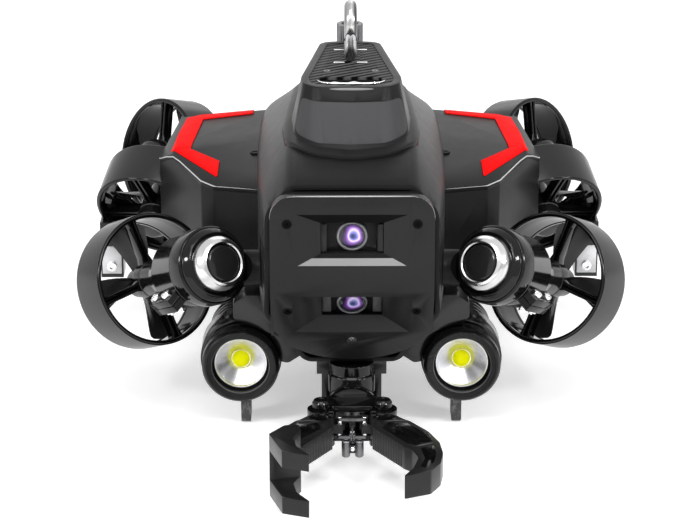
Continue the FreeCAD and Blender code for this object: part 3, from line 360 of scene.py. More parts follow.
def moulded(name, color, rough, grain=0.12, grain_size=0.00035, shift=0.25, specular=0.5, ior=1.5, painted_glow=0,
            worn=None):
    """Plastic or paint: fine surface grain, slow colour drift and uneven gloss, with flecks of worn and,
    where asked, a faint painted glow of its own colour.
    """
    mat, tree, bsdf = new_material(name)
    coords = object_coords(tree)
    light = tuple(min(1, c * (1 + shift) + 0.002) for c in color)
    dark = tuple(c * (1 - shift) for c in color)
    base = mix_colors(spread(noise(coords, 22, 4), NARROW, (0, 1)), dark, light)
    if worn:
        cloudy = noise(object_coords(tree, (1, 1, 0.6)), 260, 5, 0.7)
        base = mix_colors(spread(cloudy, (0.5, 0.6), (0, 0.7)), base, worn)
    wire(base, bsdf, "Base Color", MIX_RESULT)
    wire(spread(noise(coords, 130, 4), WIDE, (rough * 0.94, rough * 1.07)), bsdf, "Roughness")
    roughen(bsdf, noise(coords, 1 / grain_size, 2), grain, 0.0002)
    fill(bsdf, {"Specular IOR Level": specular, "IOR": ior})
    if painted_glow:
        fill(bsdf, {"Emission Color": (*color, 1), "Emission Strength": painted_glow})
    return mat


def metal(name, color, rough, brush=(300, 300, 300), relief=0.05):
    """Bare metal with fine tool marks and a little tarnish in its gloss."""
    mat, tree, bsdf = new_material(name)
    marks = noise(object_coords(tree, brush), 6, 4)
    slow = noise(object_coords(tree), 60)
    light = tuple(min(1, c * 1.1) for c in color)
    dark = tuple(c * 0.82 for c in color)
    wire(mix_colors(spread(slow, NARROW, (0, 1)), dark, light), bsdf, "Base Color", MIX_RESULT)
    wire(spread(marks, WIDE, (rough * 0.7, rough * 1.4)), bsdf, "Roughness")
    roughen(bsdf, marks, relief, 0.0001)
    fill(bsdf, {"Metallic": 1})
    return mat


def painted_reflection_metal(name, stops, rough, reflection_lean, wobble=0.1):
    """Mirror-like metal with painted reflections, its tint following how far a face leans along a direction,
    and fine scratches.
    """
    mat, tree, bsdf = new_material(name)
    dot = add(tree, "ShaderNodeVectorMath", {1: reflection_lean}, operation="DOT_PRODUCT")
    wire(add(tree, "ShaderNodeTexCoord"), dot, 0, "Normal")
    half = add(tree, "ShaderNodeMath", {1: 0.5}, operation="MULTIPLY")
    wire(dot, half, 0, "Value")
    reflection_cloud = spread(noise(object_coords(tree), 70, 2), WIDE, (0.5 - wobble, 0.5 + wobble))
    wire(ramp(total_of(half, reflection_cloud), stops), bsdf, "Base Color")
    scratch = noise(object_coords(tree, (400, 3000, 400)), 2, 4)
    wire(spread(scratch, WIDE, (rough * 0.7, rough * 1.5)), bsdf, "Roughness")
    roughen(bsdf, scratch, 0.02, 0.0001)
    fill(bsdf, {"Metallic": 1})
    return mat


def woven(name, dark, light, pitch, turn):
    """Carbon laminate: slanting ribs of light and dark tows under a thin clear coat."""
    mat, tree, bsdf = new_material(name)
    ribs = add(tree, "ShaderNodeTexWave", {"Scale": WAVE_BAND / pitch, "Distortion": 0.8, "Detail": 2,
                                           "Detail Scale": 3}, wave_type="BANDS", bands_direction="X")
    wire(fill(object_coords(tree), {"Rotation": (0, 0, turn)}), ribs, "Vector")
    tint = ramp(ribs, [(0.25, dark), (0.75, light)], out="Fac")
    flecks = spread(noise(object_coords(tree, (1, 3, 1)), 900), NARROW, (0.75, 1.15))
    wire(mix_colors(1, tint, flecks, tree, "MULTIPLY"), bsdf, "Base Color", MIX_RESULT)
    roughen(bsdf, ribs, 0.4, 0.0003, out="Fac")
    fill(bsdf, {"Roughness": 0.42, "IOR": 1.07})
    return mat


def painted_reflection_glass(name, stops, reach, swirl):
    """Coated glass whose colour, painted reflections with a painted highlight ring, runs outwards from the
    piece's own axis, pulled about by swirl.
    """
    mat, tree, bsdf = new_material(name)
    flat = add(tree, "ShaderNodeVectorMath", {1: (1 / reach, 1 / reach, 0)}, operation="MULTIPLY")
    wire(add(tree, "ShaderNodeTexCoord"), flat, 0, "Object")
    length = add(tree, "ShaderNodeVectorMath", operation="LENGTH")
    wire(flat, length, 0)
    warp = fill(noise(flat, 0.9, 0, 0.4), {"Distortion": 0.3})
    wire(ramp(total_of(length, spread(warp, WIDE, (-swirl, swirl)), "Value"), stops), bsdf, "Base Color")
    fill(bsdf, {"Roughness": 0.08})
    return mat


def clear(name, alpha):
    """Clear window: only a thin film of reflections and dust stays visible."""
    mat, tree, bsdf = new_material(name)
    dust = noise(object_coords(tree), 400)
    wire(spread(dust, (0.4, 0.8), (alpha, alpha * 1.8)), bsdf, "Alpha")
    wire(spread(dust, (0.4, 0.8), (0.02, 0.06)), bsdf, "Roughness")
    fill(bsdf, {"Base Color": (0.05, 0.05, 0.06, 1)})
    return mat


MATERIALS = {
    "hull": moulded("hull_satin", (0.0085, 0.0085, 0.009), 0.34, grain=0.08, shift=0.05, ior=1.19),
    "plate": moulded("faceplate_satin", (0.01, 0.01, 0.0105), 0.34, grain=0.06, shift=0.06, ior=1.26),
    "panel": moulded("panel_satin", (0.046, 0.046, 0.048), 0.45, grain=0.04, shift=0.03, ior=1.2),
    "duct": moulded("duct_satin", (0.005, 0.005, 0.0054), 0.2, grain=0.04, shift=0.08, ior=1.45),
    "gloss": moulded("gloss_black", (0.0018, 0.0018, 0.002), 0.09, grain=0.02, shift=0.08, ior=1.36),
    # Matte black of screw heads, and of sheets and rings that are painted shade in recesses, gaps and
    # countersinks.
    "deep": moulded("black_and_painted_shade_matte", (0.0012, 0.0012, 0.0013), 0.5, grain=0.05, shift=0.08, specular=0.08),
    "blade": moulded("blade_grey", (0.04, 0.04, 0.042), 0.24, grain=0.03, shift=0.06),
    "bezel": moulded("bezel_grey", (0.0075, 0.0075, 0.008), 0.26, grain=0.1, grain_size=0.0002, shift=0.06,
                     ior=1.3),
    "anodised": moulded("anodised_black", (0.003, 0.003, 0.0034), 0.2, grain=0.08, grain_size=0.0002,
                        shift=0.06, ior=1.4),
    "jaw": moulded("jaw_satin", (0.0085, 0.0085, 0.009), 0.3, grain_size=0.00025, shift=0.06, ior=1.34),
    # The red stripes get a faint painted glow, though they are no lamp.
    "red": moulded("red_gloss", (0.8, 0.0015, 0.002), 0.5, grain=0.02, shift=0.02, ior=1.1, painted_glow=0.12),
    "inner": moulded("inner_grey", (0.09, 0.095, 0.1), 0.5),
    # The emitter gets a faint painted glow that brightens its yellow; the floodlamp is not lit.
    "yellow": moulded("emitter_yellow", (0.92, 0.92, 0), 0.5, grain=0.2, grain_size=0.0004, shift=0.03,
                      ior=1.1, painted_glow=0.14),
    "lens": moulded("lens_black", (0.012, 0.012, 0.0125), 0.1, grain=0, shift=0.1, ior=1.38),
    # Light grey that paints light: the lit sill of the upper window and the highlight along the tower's front
    # edge.
    "bright_painted_light": moulded("bright_painted_light_grey", (0.2, 0.2, 0.2), 0.4, grain=0.03, shift=0.05, ior=1.3),
    # Mid grey that paints fainter highlights and lit faces: lamp and bezel edges, walls beside the lower
    # lens, the tower's flanks and the jaws' edges.
    "shade": moulded("dim_painted_light_grey", (0.075, 0.075, 0.077), 0.4, grain=0.03, ior=1.3),
    "fleck": moulded("fleck_grey", (0.03, 0.03, 0.031), 0.5, grain=0.5, grain_size=0.0008, shift=0.1,
                     worn=(0.2, 0.2, 0.2)),
    # Grey for painted highlights along the nose plate's rim and the wings' parting lines.
    "painted_highlight": moulded("painted_highlight_grey", (0.5, 0.5, 0.5), 0.35, grain=0.03, shift=0.05, ior=1.3),
    "band": moulded("band_black", (0.0022, 0.0022, 0.0024), 0.14, grain=0.03, shift=0.08, ior=1.32),
    "black": moulded("camera_black", (0.0015, 0.0015, 0.0015), 0.4, grain=0.05, shift=0.1, specular=0.12),
    "steel": metal("turned_steel", (0.52, 0.52, 0.53), 0.2),
    "bright": metal("bright_trim", (0.93, 0.93, 0.94), 0.14),
    "dim_metal": metal("ribbed_metal", (0.16, 0.16, 0.165), 0.3),
    "tine": metal("tine_steel", (0.5, 0.5, 0.51), 0.32),
    "reflector": metal("spun_reflector", (0.84, 0.84, 0.88), 0.3, brush=(900, 900, 60), relief=0.03),
    "light_metal": metal("satin_aluminium", (0.56, 0.56, 0.57), 0.36),
    "lens_ring": metal("lens_ring_metal", (0.17, 0.17, 0.175), 0.32),
    # Chrome and the shackle's steel carry painted reflections, lighter and darker by which way each face
    # points.
    "chrome": painted_reflection_metal(
        "chrome_with_painted_reflections", [(0.1, 0.05), (0.22, 0.14), (0.34, 0.6), (0.5, 0.44), (0.62, 0.74), (0.9, 0.6)],
        rough=0.17, reflection_lean=(-0.55, 0, 0.85)),
    "shackle": painted_reflection_metal(
        "shackle_steel_with_painted_reflections", [(0.04, 0.06), (0.2, 0.12), (0.34, 0.5), (0.46, 0.66), (0.56, 0.48), (0.8, 0.4),
                          (1, 0.24)], rough=0.2, reflection_lean=(-1, 0, 0.15), wobble=0.04),
    "carbon": woven("carbon_ribs", dark=0.004, light=0.085, pitch=0.0046, turn=radians(56.5)),
    # The camera glass's coloured rings and bright ring are painted reflections.
    "iris": painted_reflection_glass(
        "lens_with_painted_reflections", [(0, (0.01, 0.01, 0.05)), (0.13, (0.05, 0.07, 0.3)), (0.24, (0.3, 0.28, 0.75)),
                        (0.34, (0.85, 0.74, 0.95)), (0.46, (0.34, 0.14, 0.62)), (0.6, (0.1, 0.03, 0.2)),
                        (0.76, (0.012, 0.01, 0.03)), (1, (0.02, 0.02, 0.02))], reach=0.0082, swirl=0.17),
    "window": clear("clear_window", 0.012),
}


# ---------------- camera and stage

def aim(obj, direction):
    """Turns a camera or lamp so that it looks along direction."""
    obj.rotation_mode = "QUATERNION"
    obj.rotation_quaternion = direction.to_track_quat("-Z", "Y")


def add_camera():
    """Long lens from the front and above, for a frame 700 wide."""
    frame_width, focal_length, off_centre = 700, 2577, 0.5
    target, distance = Vector((0, MID_Y, 0.05)), 1.6
    elevation, turn = radians(19.5), radians(-0.41)
    back = Vector((sin(turn) * cos(elevation), -cos(turn) * cos(elevation),
                   sin(elevation)))
    data = adjust(bpy.data.cameras.new("camera"), sensor_width=36, lens=36 * focal_length / frame_width,
                  shift_x=off_centre / frame_width, clip_start=0.05, clip_end=50)
    camera = link(bpy.data.objects.new("camera", data))
    camera.location = target + back * distance
    aim(camera, -back)
    bpy.context.scene.camera = camera


def seen_level(tree, rays, otherwise, seen):
    """Node whose value is seen for the named kinds of ray and otherwise for all the rest."""
    path = add(tree, "ShaderNodeLightPath")
    total, out = path, rays[0]
    for ray in rays[1:]:
        either = add(tree, "ShaderNodeMath", operation="MAXIMUM")
        wire(total, either, 0, out)
        wire(path, either, 1, ray)
        total, out = either, 0
    level = add(tree, "ShaderNodeMapRange", {"To Min": otherwise, "To Max": seen})
    wire(total, level, "Value", out)
    return level


def add_stage():
    """Pale floor, even world and soft lamps."""
    mat, tree, bsdf = new_material("floor_pale")
    fill(bsdf, {"Base Color": (0.86, 0.86, 0.86, 1), "Roughness": 0.8, "Emission Color": (1, 1, 1, 1)})
    rays = ("Is Camera Ray", "Is Glossy Ray", "Is Transmission Ray")
    wire(seen_level(tree, rays[:2], 0, 0.45), bsdf, "Emission Strength")
    size, drop = 6, 0.0005
    mesh = bpy.data.meshes.new("floor")
    corners = ((-1, -1), (1, -1), (1, 1), (-1, 1))
    mesh.from_pydata([(x * size, y * size, -drop) for x, y in corners], [], [(0, 1, 2, 3)])
    mesh.materials.append(mat)
    floor = link(bpy.data.objects.new("floor", mesh))

    world = bpy.data.worlds.new("studio")
    bpy.context.scene.world = world
    world.use_nodes = True
    back = fill(world.node_tree.nodes["Background"], {"Color": (1, 1, 1, 1)})
    wire(seen_level(world.node_tree, rays, 0.4, 1), back, "Strength")

    # Name, place, aim and size in metres, power in watts.
    lamps = (
        ("key", (0, -1.1, 2), (0, 0.05, 0.1), 1.4, 26),
        ("left", (-1.7, -0.9, 0.9), (0, 0.05, 0.1), 0.45, 13),
        ("right", (1.7, -0.9, 0.9), (0, 0.05, 0.1), 0.45, 13),
        ("left_high", (-0.9, -1.1, 1.1), (-0.15, 0, 0.1), 0.2, 7),
        ("right_high", (0.9, -1.1, 1.1), (0.15, 0, 0.1), 0.2, 7),
        ("back", (0, 1.9, 1.3), (0, 0.05, 0.1), 1.2, 3),
    )
    for name, at, to, size, power in lamps:
        data = adjust(bpy.data.lights.new(name, "AREA"), shape="SQUARE", size=size, energy=power)
        lamp = link(bpy.data.objects.new(name, data))
        lamp.location = at
        aim(lamp, Vector(to) - Vector(at))
    bpy.context.scene.view_settings.view_transform = "Standard"


# ---------------- CAD nodes

# Each material's nodes, without the ending of those that come as a right and a left one.
NODES_BY_MATERIAL = {
    "hull": "hull_upper_shell hull_lower_shell handle_tower", "plate": "nose_faceplate",
    "panel": "tower_front_panel", "carbon": "carbon_top_plate", "red": "accent_stripes",
    "black": "main_camera lower_camera", "window": "camera_windows flood_windows", "lens": "headlamp_lens",
    "chrome": "headlamp_bezel lifting_shackle", "band": "headlamp_clamp", "bright": "clamp_bolts",
    "gloss": "headlamp_barrel flood_body gripper_housing gripper_pins", "bezel": "flood_bezel",
    "reflector": "flood_reflector", "yellow": "flood_emitters", "anodised": "push_rod", "jaw": "jaw",
    "duct": "duct_front duct_mid duct_rear flood_bracket side_brackets gripper_bracket",
    "blade": "propeller_front propeller_mid propeller_rear", "dim_metal": "depth_sensor tether_connector",
    "light_metal": "side_plates", "steel": "thruster_motors gripper_motor screws", "fleck": "landing_fins",
    "inner": "electronics_bay battery_pack",
}
# Widths of the softened edges in millimetres; EDGE is for nodes that aren't named.
EDGE = 0.35
EDGES = {"hull_upper_shell": 0.6, "hull_lower_shell": 0.6, "nose_faceplate": 0.6, "handle_tower": 1,
         "jaw_right": 0.7, "jaw_left": 0.7}


def smooth_group(angle):
    """Geometry nodes that shade smooth except at edges sharper than angle."""
    tree = bpy.data.node_groups.new("smooth_%d" % angle, "GeometryNodeTree")
    for way in ("INPUT", "OUTPUT"):
        tree.interface.new_socket("Geometry", in_out=way, socket_type="NodeSocketGeometry")
    start, end = add(tree, "NodeGroupInput"), add(tree, "NodeGroupOutput")
    faces = add(tree, "GeometryNodeSetShadeSmooth")
    edges = add(tree, "GeometryNodeSetShadeSmooth", domain="EDGE")
    flat = add(tree, "FunctionNodeCompare", {1: radians(angle)}, data_type="FLOAT", operation="LESS_THAN")
    wire(start, faces, "Geometry")
    wire(faces, edges, "Geometry")
    wire(add(tree, "GeometryNodeInputMeshEdgeAngle"), flat, 0, "Unsigned Angle")
    wire(flat, edges, "Shade Smooth")
    wire(edges, end, 0)
    return tree


def dress_nodes():
    """Own materials on the CAD nodes, with their edges softened by modifiers."""
    group = smooth_group(31)
    finish = {name: key for key, names in NODES_BY_MATERIAL.items() for name in names.split()}
    for name, obj in nodes.items():
        obj.data.materials.clear()
        obj.data.materials.append(MATERIALS[finish.get(name) or finish[name.rsplit("_", 1)[0]]])
        adjust(obj.modifiers.new("weld", "WELD"), merge_threshold=0.002 * MM)
        adjust(obj.modifiers.new("planar", "DECIMATE"), decimate_type="DISSOLVE", angle_limit=radians(0.6))
        adjust(obj.modifiers.new("soft_edges", "BEVEL"), width=EDGES.get(name, EDGE) * MM, segments=2,
               limit_method="ANGLE", angle_limit=radians(28), use_clamp_overlap=True,
               miter_outer="MITER_ARC")
        adjust(obj.modifiers.new("shading", "NODES"), node_group=group)


# ---------------- thrusters

# Along a thruster, station 0 is the front of its ring.
RING_R, RING_WALL, RING_LENGTH = 38.2, 2.8, 27
BORE_R = RING_R - RING_WALL
LIP_END, LINER_DEPTH = 2.9, 0.9
HUB_R, HUB_BACK = 11, 10
SPOKES, SPOKE_TURN = 4, 10
BLADES, BLADE_ROOT, BLADE_TIP = 4, 6.5, BORE_R - 1
PROP_START = HUB_BACK + 1.2


def duct_shell():
    """Outer skin of a ring, with a fine step behind its lip and another at its back edge."""
    step, inner = 0.35, BORE_R + 0.8
    return lathe([(RING_R - 0.55, 0.75, 0), (RING_R, 0.55, 0.25), (RING_R, RING_LENGTH - 2.4, 0),
                  (RING_R - step, RING_LENGTH - 2.2, 0), (RING_R - step, RING_LENGTH, 1),
                  (inner, RING_LENGTH, 0.4), (inner, 1.6, 0)], segments=128)


def duct_lip():
    """Rounded glossy front lip of a ring."""
    outer = RING_R - 0.5
    return lathe([(BORE_R, 0, 1.1), (outer, 0, 1.1), (outer, 2, 0.1), (BORE_R + LINER_DEPTH, 2.6, 0.1),
                  (BORE_R, LIP_END, 0.1)], segments=128, steps=7)


def duct_liner():
    """Glossy bore of a ring with a shallow groove round the blades."""
    outer, groove, end = BORE_R + LINER_DEPTH, BORE_R + 0.35, RING_LENGTH - 0.3
    return lathe([(BORE_R, LIP_END, 0.1), (outer, LIP_END, 0.1), (outer, end, 0.1), (BORE_R, end, 0.4),
                  (BORE_R, 24.6, 0), (groove, 24.2, 0), (groove, 11, 0), (BORE_R, 10.6, 0)], segments=128)


def duct_hub(place):
    """Hub with a seam line: drawn out to the headlamp in front, domed elsewhere."""
    seam = HUB_R - 0.4
    if place == "front":
        nose = [(0, -31, 0), (13, -31, 0.8), (13, -17, 2), (HUB_R, -10, 2)]
    else:
        nose = [(0, -12, 0), (5.2, -12, 3.5), (9.4, -8.6, 3), (HUB_R, -4.2, 3)]
    return lathe(nose + [(HUB_R, 0.5, 0.2), (seam, 0.8, 0.1), (seam, 1.6, 0.1), (HUB_R, 1.9, 0.2),
                         (HUB_R, HUB_BACK, 0.8), (0, HUB_BACK, 0)], segments=72)


def duct_spokes():
    """Double-ribbed spokes: two thin walls on a shared web, flared where they meet the hub and the ring."""
    bm = bmesh.new()
    inner, outer, flare = HUB_R - 1, RING_R - RING_WALL / 2, 1.2
    walls = ((-2.3, -0.8, 2, 9), (0.8, 2.3, 2, 9), (-1, 1, 5.5, 8.6))
    for k in range(SPOKES):
        turn = Matrix.Rotation(radians(SPOKE_TURN + 360 * k / SPOKES), 4, "Z")
        for low, high, start, end in walls:
            low_end, high_end = low - flare * (low < 0), high + flare * (high > 0)
            slab([(inner, low_end, 0), (inner + 4, low, 2), (outer - 4.5, low, 2), (outer, low_end, 0),
                  (outer, high_end, 0), (outer - 4.5, high, 2), (inner + 4, high, 2), (inner, high_end, 0)],
                 start, end, 0.35, bm, turn)
    return bm


def blade_section(share):
    """Closed airfoil section of a blade at a share of its span, as points in local millimetres."""
    r = BLADE_ROOT + (BLADE_TIP - BLADE_ROOT) * share
    tip_round = sqrt(max(0, 1 - max(0, (share - 0.86) / 0.14) ** 2.4))
    chord = (9 + 15.5 * share ** 0.85) * (0.35 + 0.65 * tip_round)
    pitch = radians(52 - 29 * share)
    sweep = 5 * share ** 2
    thick = 1.9 - 1.1 * share
    middle, steps = PROP_START + 5, 9
    points = []
    for i in range(2 * steps):
        t = i / steps if i <= steps else 2 - i / steps
        arch = sin(pi * min(max(t, 0), 1))
        camber = 1.5 * arch * (1 - 0.4 * share)
        half = 0.5 * thick * sqrt(max(0, arch)) * (1.25 - 0.5 * t)
        a = camber + (half if i <= steps else -half)
        c = (t - 0.5) * chord
        angle = (c * cos(pitch) - a * sin(pitch) + sweep) / r
        lift = c * sin(pitch) + a * cos(pitch)
        points.append((r * cos(angle), r * sin(angle), middle + lift * 0.92))
    return points


def propeller():
    """Hub with a dished nut, and swept, twisted blades."""
    r, z, rows = 8.5, PROP_START, 16
    bm = lathe([(0, z, 0), (r - 0.6, z, 0.3), (r, z + 0.6, 0.5), (r, z + 9.6, 1.2), (7, z + 12.2, 2.5),
                (3.4, z + 13.3, 1), (2.6, z + 13.4, 0.2), (2.3, z + 12.6, 0.2), (0, z + 12.6, 0)],
               segments=64)
    for k in range(BLADES):
        turn = Matrix.Rotation(2 * pi * k / BLADES, 4, "Z")
        shares = (1 - (1 - j / rows) ** 1.25 for j in range(rows + 1))
        skin(bm, [[bm.verts.new(turn @ Vector(p)) for p in blade_section(share)] for share in shares])
    return bm


def add_thrusters():
    for place in ("front", "mid", "rear"):
        matrix = thruster_place(place)
        for side, sign in SIDES:
            tag, flip = place + "_" + side, sign < 0
            ring = piece("ring_" + tag, duct_shell(), "duct", "duct_plastic", matrix, flip)
            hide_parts("duct_" + tag)
            parts = (("lip_", duct_lip(), "gloss", 60), ("liner_", duct_liner(), "gloss", 32),
                     ("spokes_", duct_spokes(), "gloss", 32), ("hub_", duct_hub(place), "duct", 32))
            for name, bm, material, angle in parts:
                piece(name + tag, bm, material, "duct_plastic", matrix, flip, angle=angle)
            name = "propeller_" + tag
            prop = piece("blades_" + tag, propeller(), "blade", "propeller_plastic", matrix, flip, name, 40)
            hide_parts(name)


# ---------------- lamps

# Stations of a headlamp, along its thruster: the lens's face, and the back edge of the clamp's front band.
LAMP_FACE = -77
BAND_EDGE = LAMP_FACE + 8 + 4 + 12


def add_headlamps():
    """Dark lens, turned chrome bezel with painted reflections and its seal, and a painted highlight at the
    edge of the clamp's band.
    """
    matrix, f, e = thruster_place("front"), LAMP_FACE, BAND_EDGE
    for side, sign in SIDES:
        flip = sign < 0
        lens = turned("lamp_lens_" + side, [
            (0, f + 0.35, 0), (5.5, f + 0.45, 3), (9.4, f + 1, 2), (10.3, f + 1.9, 0.3), (10.3, f + 3, 0),
            (0, f + 3, 0)], "lens", "dark_lens", matrix, flip)
        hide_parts("headlamp_lens_" + side)
        bezel = turned("lamp_bezel_" + side, [
            (10.35, f + 2.9, 0), (10.6, f + 0.7, 0.3), (11.4, f, 0.5), (13.2, f + 0.9, 4), (15.2, f + 4.2, 4),
            (15.75, f + 8, 0.2), (10.35, f + 8, 0)], "chrome", "chrome", matrix, flip, angle=60,
            segments=128, steps=8)
        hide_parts("headlamp_bezel_" + side)
        turned("lamp_seal_" + side, [
            (15.5, f + 7.9, 0.2), (16.6, f + 8.3, 0.4), (16.9, f + 8.9, 0.4), (15.5, f + 8.9, 0)], "gloss",
            "dark_lens", matrix, flip)
        # A grey ring that paints the highlight on the back edge of the clamp's front band.
        turned("lamp_band_painted_highlight_" + side, [
            (21.7, e - 0.9, 0.1), (22.05, e - 0.7, 0.1), (22.05, e - 0.3, 0.1), (21.7, e - 0.1, 0.1)],
            "shade", "anodised_black", matrix, flip, segments=128)


def add_floodlamps():
    """Dished bezel with a painted highlight as its rim line and painted shade in the gap behind it, reflector
    bowl and yellow emitter; station 0 is the bezel's front.
    """
    low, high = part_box("flood_bezel_right")
    matrix = axes(Vector(((low.x + high.x) / 2, low.y, (low.z + high.z) / 2)), (0, 1, 0))
    r = (high.x - low.x) / 2 / MM
    seat, back = 8.9, 13.3
    for side, sign in SIDES:
        flip = sign < 0
        bezel = turned("flood_ring_" + side, [
            (16.2, seat, 0), (16.2, 1.6, 0.3), (16.7, 1.1, 0.3), (18.9, 0.55, 0.2), (19.2, 0.1, 0.2),
            (r - 1.6, 0, 1.2), (r, 2.2, 1.2), (r, 9.6, 0.2), (r - 0.5, 9.8, 0.1), (r - 0.5, 10.4, 0.1),
            (r, 10.6, 0.2), (r, 12.4, 0.6), (r - 0.8, 13, 0.2), (19.7, 13, 0), (19.7, seat, 0)], "bezel",
            "anodised_black", matrix, flip, segments=128)
        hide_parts("flood_bezel_" + side)
        # A grey ring that paints the highlight on the bezel's inner edge.
        turned("flood_edge_painted_highlight_" + side, [
            (16.05, 1.9, 0.1), (16.35, 1.25, 0.15), (16.7, 1, 0.1), (16.5, 1.7, 0.1)], "shade",
            "anodised_black", matrix, flip)
        # A black ring of painted shade in the gap between bezel and reflector.
        turned("flood_gap_painted_shade_" + side, [
            (14.9, seat, 0), (14.9, 6.4, 0.2), (16.2, 6, 0.2), (16.2, seat, 0)], "deep", "anodised_black",
            matrix, flip)
        dish = turned("flood_dish_" + side, [
            (0, back, 0), (5.6, back, 0.2), (6, 12.7, 0.3), (13.9, 7.1, 0.6), (14.3, 6, 0.2),
            (14.9, 5.8, 0.2), (14.9, 8.4, 0), (14.9, back + 0.2, 0), (0, back + 0.2, 0)], "reflector",
            "reflector", matrix, flip, local=True, segments=128, steps=6)
        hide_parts("flood_reflector_" + side)
        dome = turned("flood_emitter_" + side, [
            (0, 9.4, 0), (2.2, 9.6, 3), (4.4, 10.9, 3), (5.2, back, 0.3), (0, back, 0)], "yellow",
            "emitter_yellow", matrix, flip, angle=60, segments=64, steps=8)
        if side == "right":
            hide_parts("flood_emitters")


# ---------------- nose

# The upper window's middle, the half sizes of its opening and of the step inside, and the step's depth.
WINDOW_Z, WINDOW_W, WINDOW_H = 133.6, 29.2, 14.6
STEP_W, STEP_H, STEP_DEPTH = 17.2, 8.8, 4
# The plate bends at BEND_Z; the lower camera looks out LOWER_DROP below it, along the tilted face.
BEND_Z, LOWER_DROP, LOWER_TILT = 104.8, 18.5, radians(26)


def camera_frames():
    """Placements at the upper and the lower camera on the plate's faces, local Z running inwards."""
    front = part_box("nose_faceplate")[0].y
    down = Vector((0, sin(LOWER_TILT), -cos(LOWER_TILT)))
    centre = Vector((0, front, BEND_Z * MM)) + down * LOWER_DROP * MM
    return (axes(Vector((0, front, WINDOW_Z * MM)), (0, 1, 0)),
            axes(centre, (0, cos(LOWER_TILT), sin(LOWER_TILT)), -down))


def add_cameras():
    """Case, lens ring and coated glass of both cameras, the glass in rings of painted reflection."""
    upper, lower = camera_frames()
    length = 23.9
    for name, matrix, z, tall, wide in (("main", upper, 8, 10.8, 18.8), ("lower", lower, 9.5, 11.1, 20)):
        case = block((-tall, tall), (-wide, wide), (z, z + length), 2, edge=0.6)
        case = piece("camera_case_" + name, case, "black", "camera_black", matrix)
        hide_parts(name + "_camera")
        s = z - 1.35
        seat = s + 1.36
        turned("camera_ring_" + name, [
            (6.9, s + 1.3, 0), (7, s + 0.25, 0.2), (7.7, s, 0.3), (8.3, s + 0.3, 0.3), (8.4, seat, 0),
            (6.9, seat, 0)], "lens_ring", "steel", matrix)
        # The glass's coloured rings are painted reflections.
        turned("camera_lens_" + name, [
            (0, s + 0.15, 0), (2.5, s + 0.22, 2), (5, s + 0.6, 2.5), (6.9, s + 1.1, 0.2), (6.9, seat, 0),
            (0, seat, 0)], "iris", "dark_lens", matrix, angle=60, local=True, steps=8)


def recess_sheet(name, near, far, lift, material):
    """Thin closed plate between two level edges, each (half width, y, z), raised by lift along its normal."""
    corners = [Vector((side * x, y, z)) for side, (x, y, z) in ((-1, near), (1, near), (1, far), (-1, far))]
    normal = (corners[1] - corners[0]).cross(corners[3] - corners[0]).normalized()
    bm = bmesh.new()
    skin(bm, [[bm.verts.new(c + normal * rise) for c in corners] for rise in (-0.05, lift)])
    piece(name, bm, material, "faceplate_plastic")


def add_plate_details():
    """Painted light and shade on the window recesses' faces, inner frames beside the lenses, the lower ones
    grey with painted light, and a painted highlight along the plate's rim.
    """
    front = (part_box("nose_faceplate")[0].y - MID_Y) / MM
    skirt, clear_of = front + 0.1, 0.15
    outer = Vector((WINDOW_W, skirt, WINDOW_Z - WINDOW_H + clear_of))
    inner = Vector((STEP_W, front + STEP_DEPTH, WINDOW_Z - STEP_H))
    lit = outer.lerp(inner, 0.62)  # where the sill's painted light ends
    # The sill's outer part is a sheet of painted light; the step above it is a sheet of painted shade.
    recess_sheet("recess_sill_painted_light", outer, lit, 0.12, "bright_painted_light")
    recess_sheet("recess_step_painted_shade", lit, inner, 0.1, "deep")
    # Grey panels of painted light on the walls beside the lower lens.
    for side, sign in reversed(SIDES):
        panel = block((-7.3, 7.3), (sign * 11.4, sign * 16.2), (9.25, 9.8), 0.3, edge=0.1)
        piece("lower_side_painted_light_" + side, panel, "shade", "camera_black", camera_frames()[1])
    # Painted shade at the head of the upper recess.
    recess_sheet("recess_head_painted_shade", (STEP_W, front + STEP_DEPTH, WINDOW_Z + STEP_H),
                 (WINDOW_W, skirt, WINDOW_Z + WINDOW_H - clear_of), 0.12, "deep")
    for side, sign in reversed(SIDES):
        bar = block((sign * 13.6, sign * 16.9), (front + 5.2, front + 6.4), (WINDOW_Z - 8.6, WINDOW_Z + 7.4),
                    0.3, edge=0.2)
        piece("recess_bar_" + side, bar, "bezel", "faceplate_plastic")
    # A painted highlight along the plate's top rim and corners.
    half, top, r, inset = 44.3, 158.7, 13, 0.35
    y, z = front + inset, top - inset
    corner = [Vector((r - half + r * cos(a), y, z - r + r * sin(a)))
              for a in (pi * (1 - i / 24) for i in range(13))]
    rim = corner + [Vector((x, y, z)) for x in range(-28, 29, 4)]
    rim += [Vector((-p.x, p.y, p.z)) for p in reversed(corner)]
    ribbon("plate_rim_painted_highlight", rim, 0.42, "painted_highlight", "faceplate_plastic", up=Vector((0, -1, 0)))


# ---------------- wings

def wing_top(x, y):
    """Height of the wing's upper skin, which falls away outwards, to the front and to the back."""
    return (138 - 0.092 * (abs(x) - 50) - 0.135 * max(0, -30 - y) - 0.3 * max(0, y - 32)
            - 0.85 * max(0, abs(x) - 104))


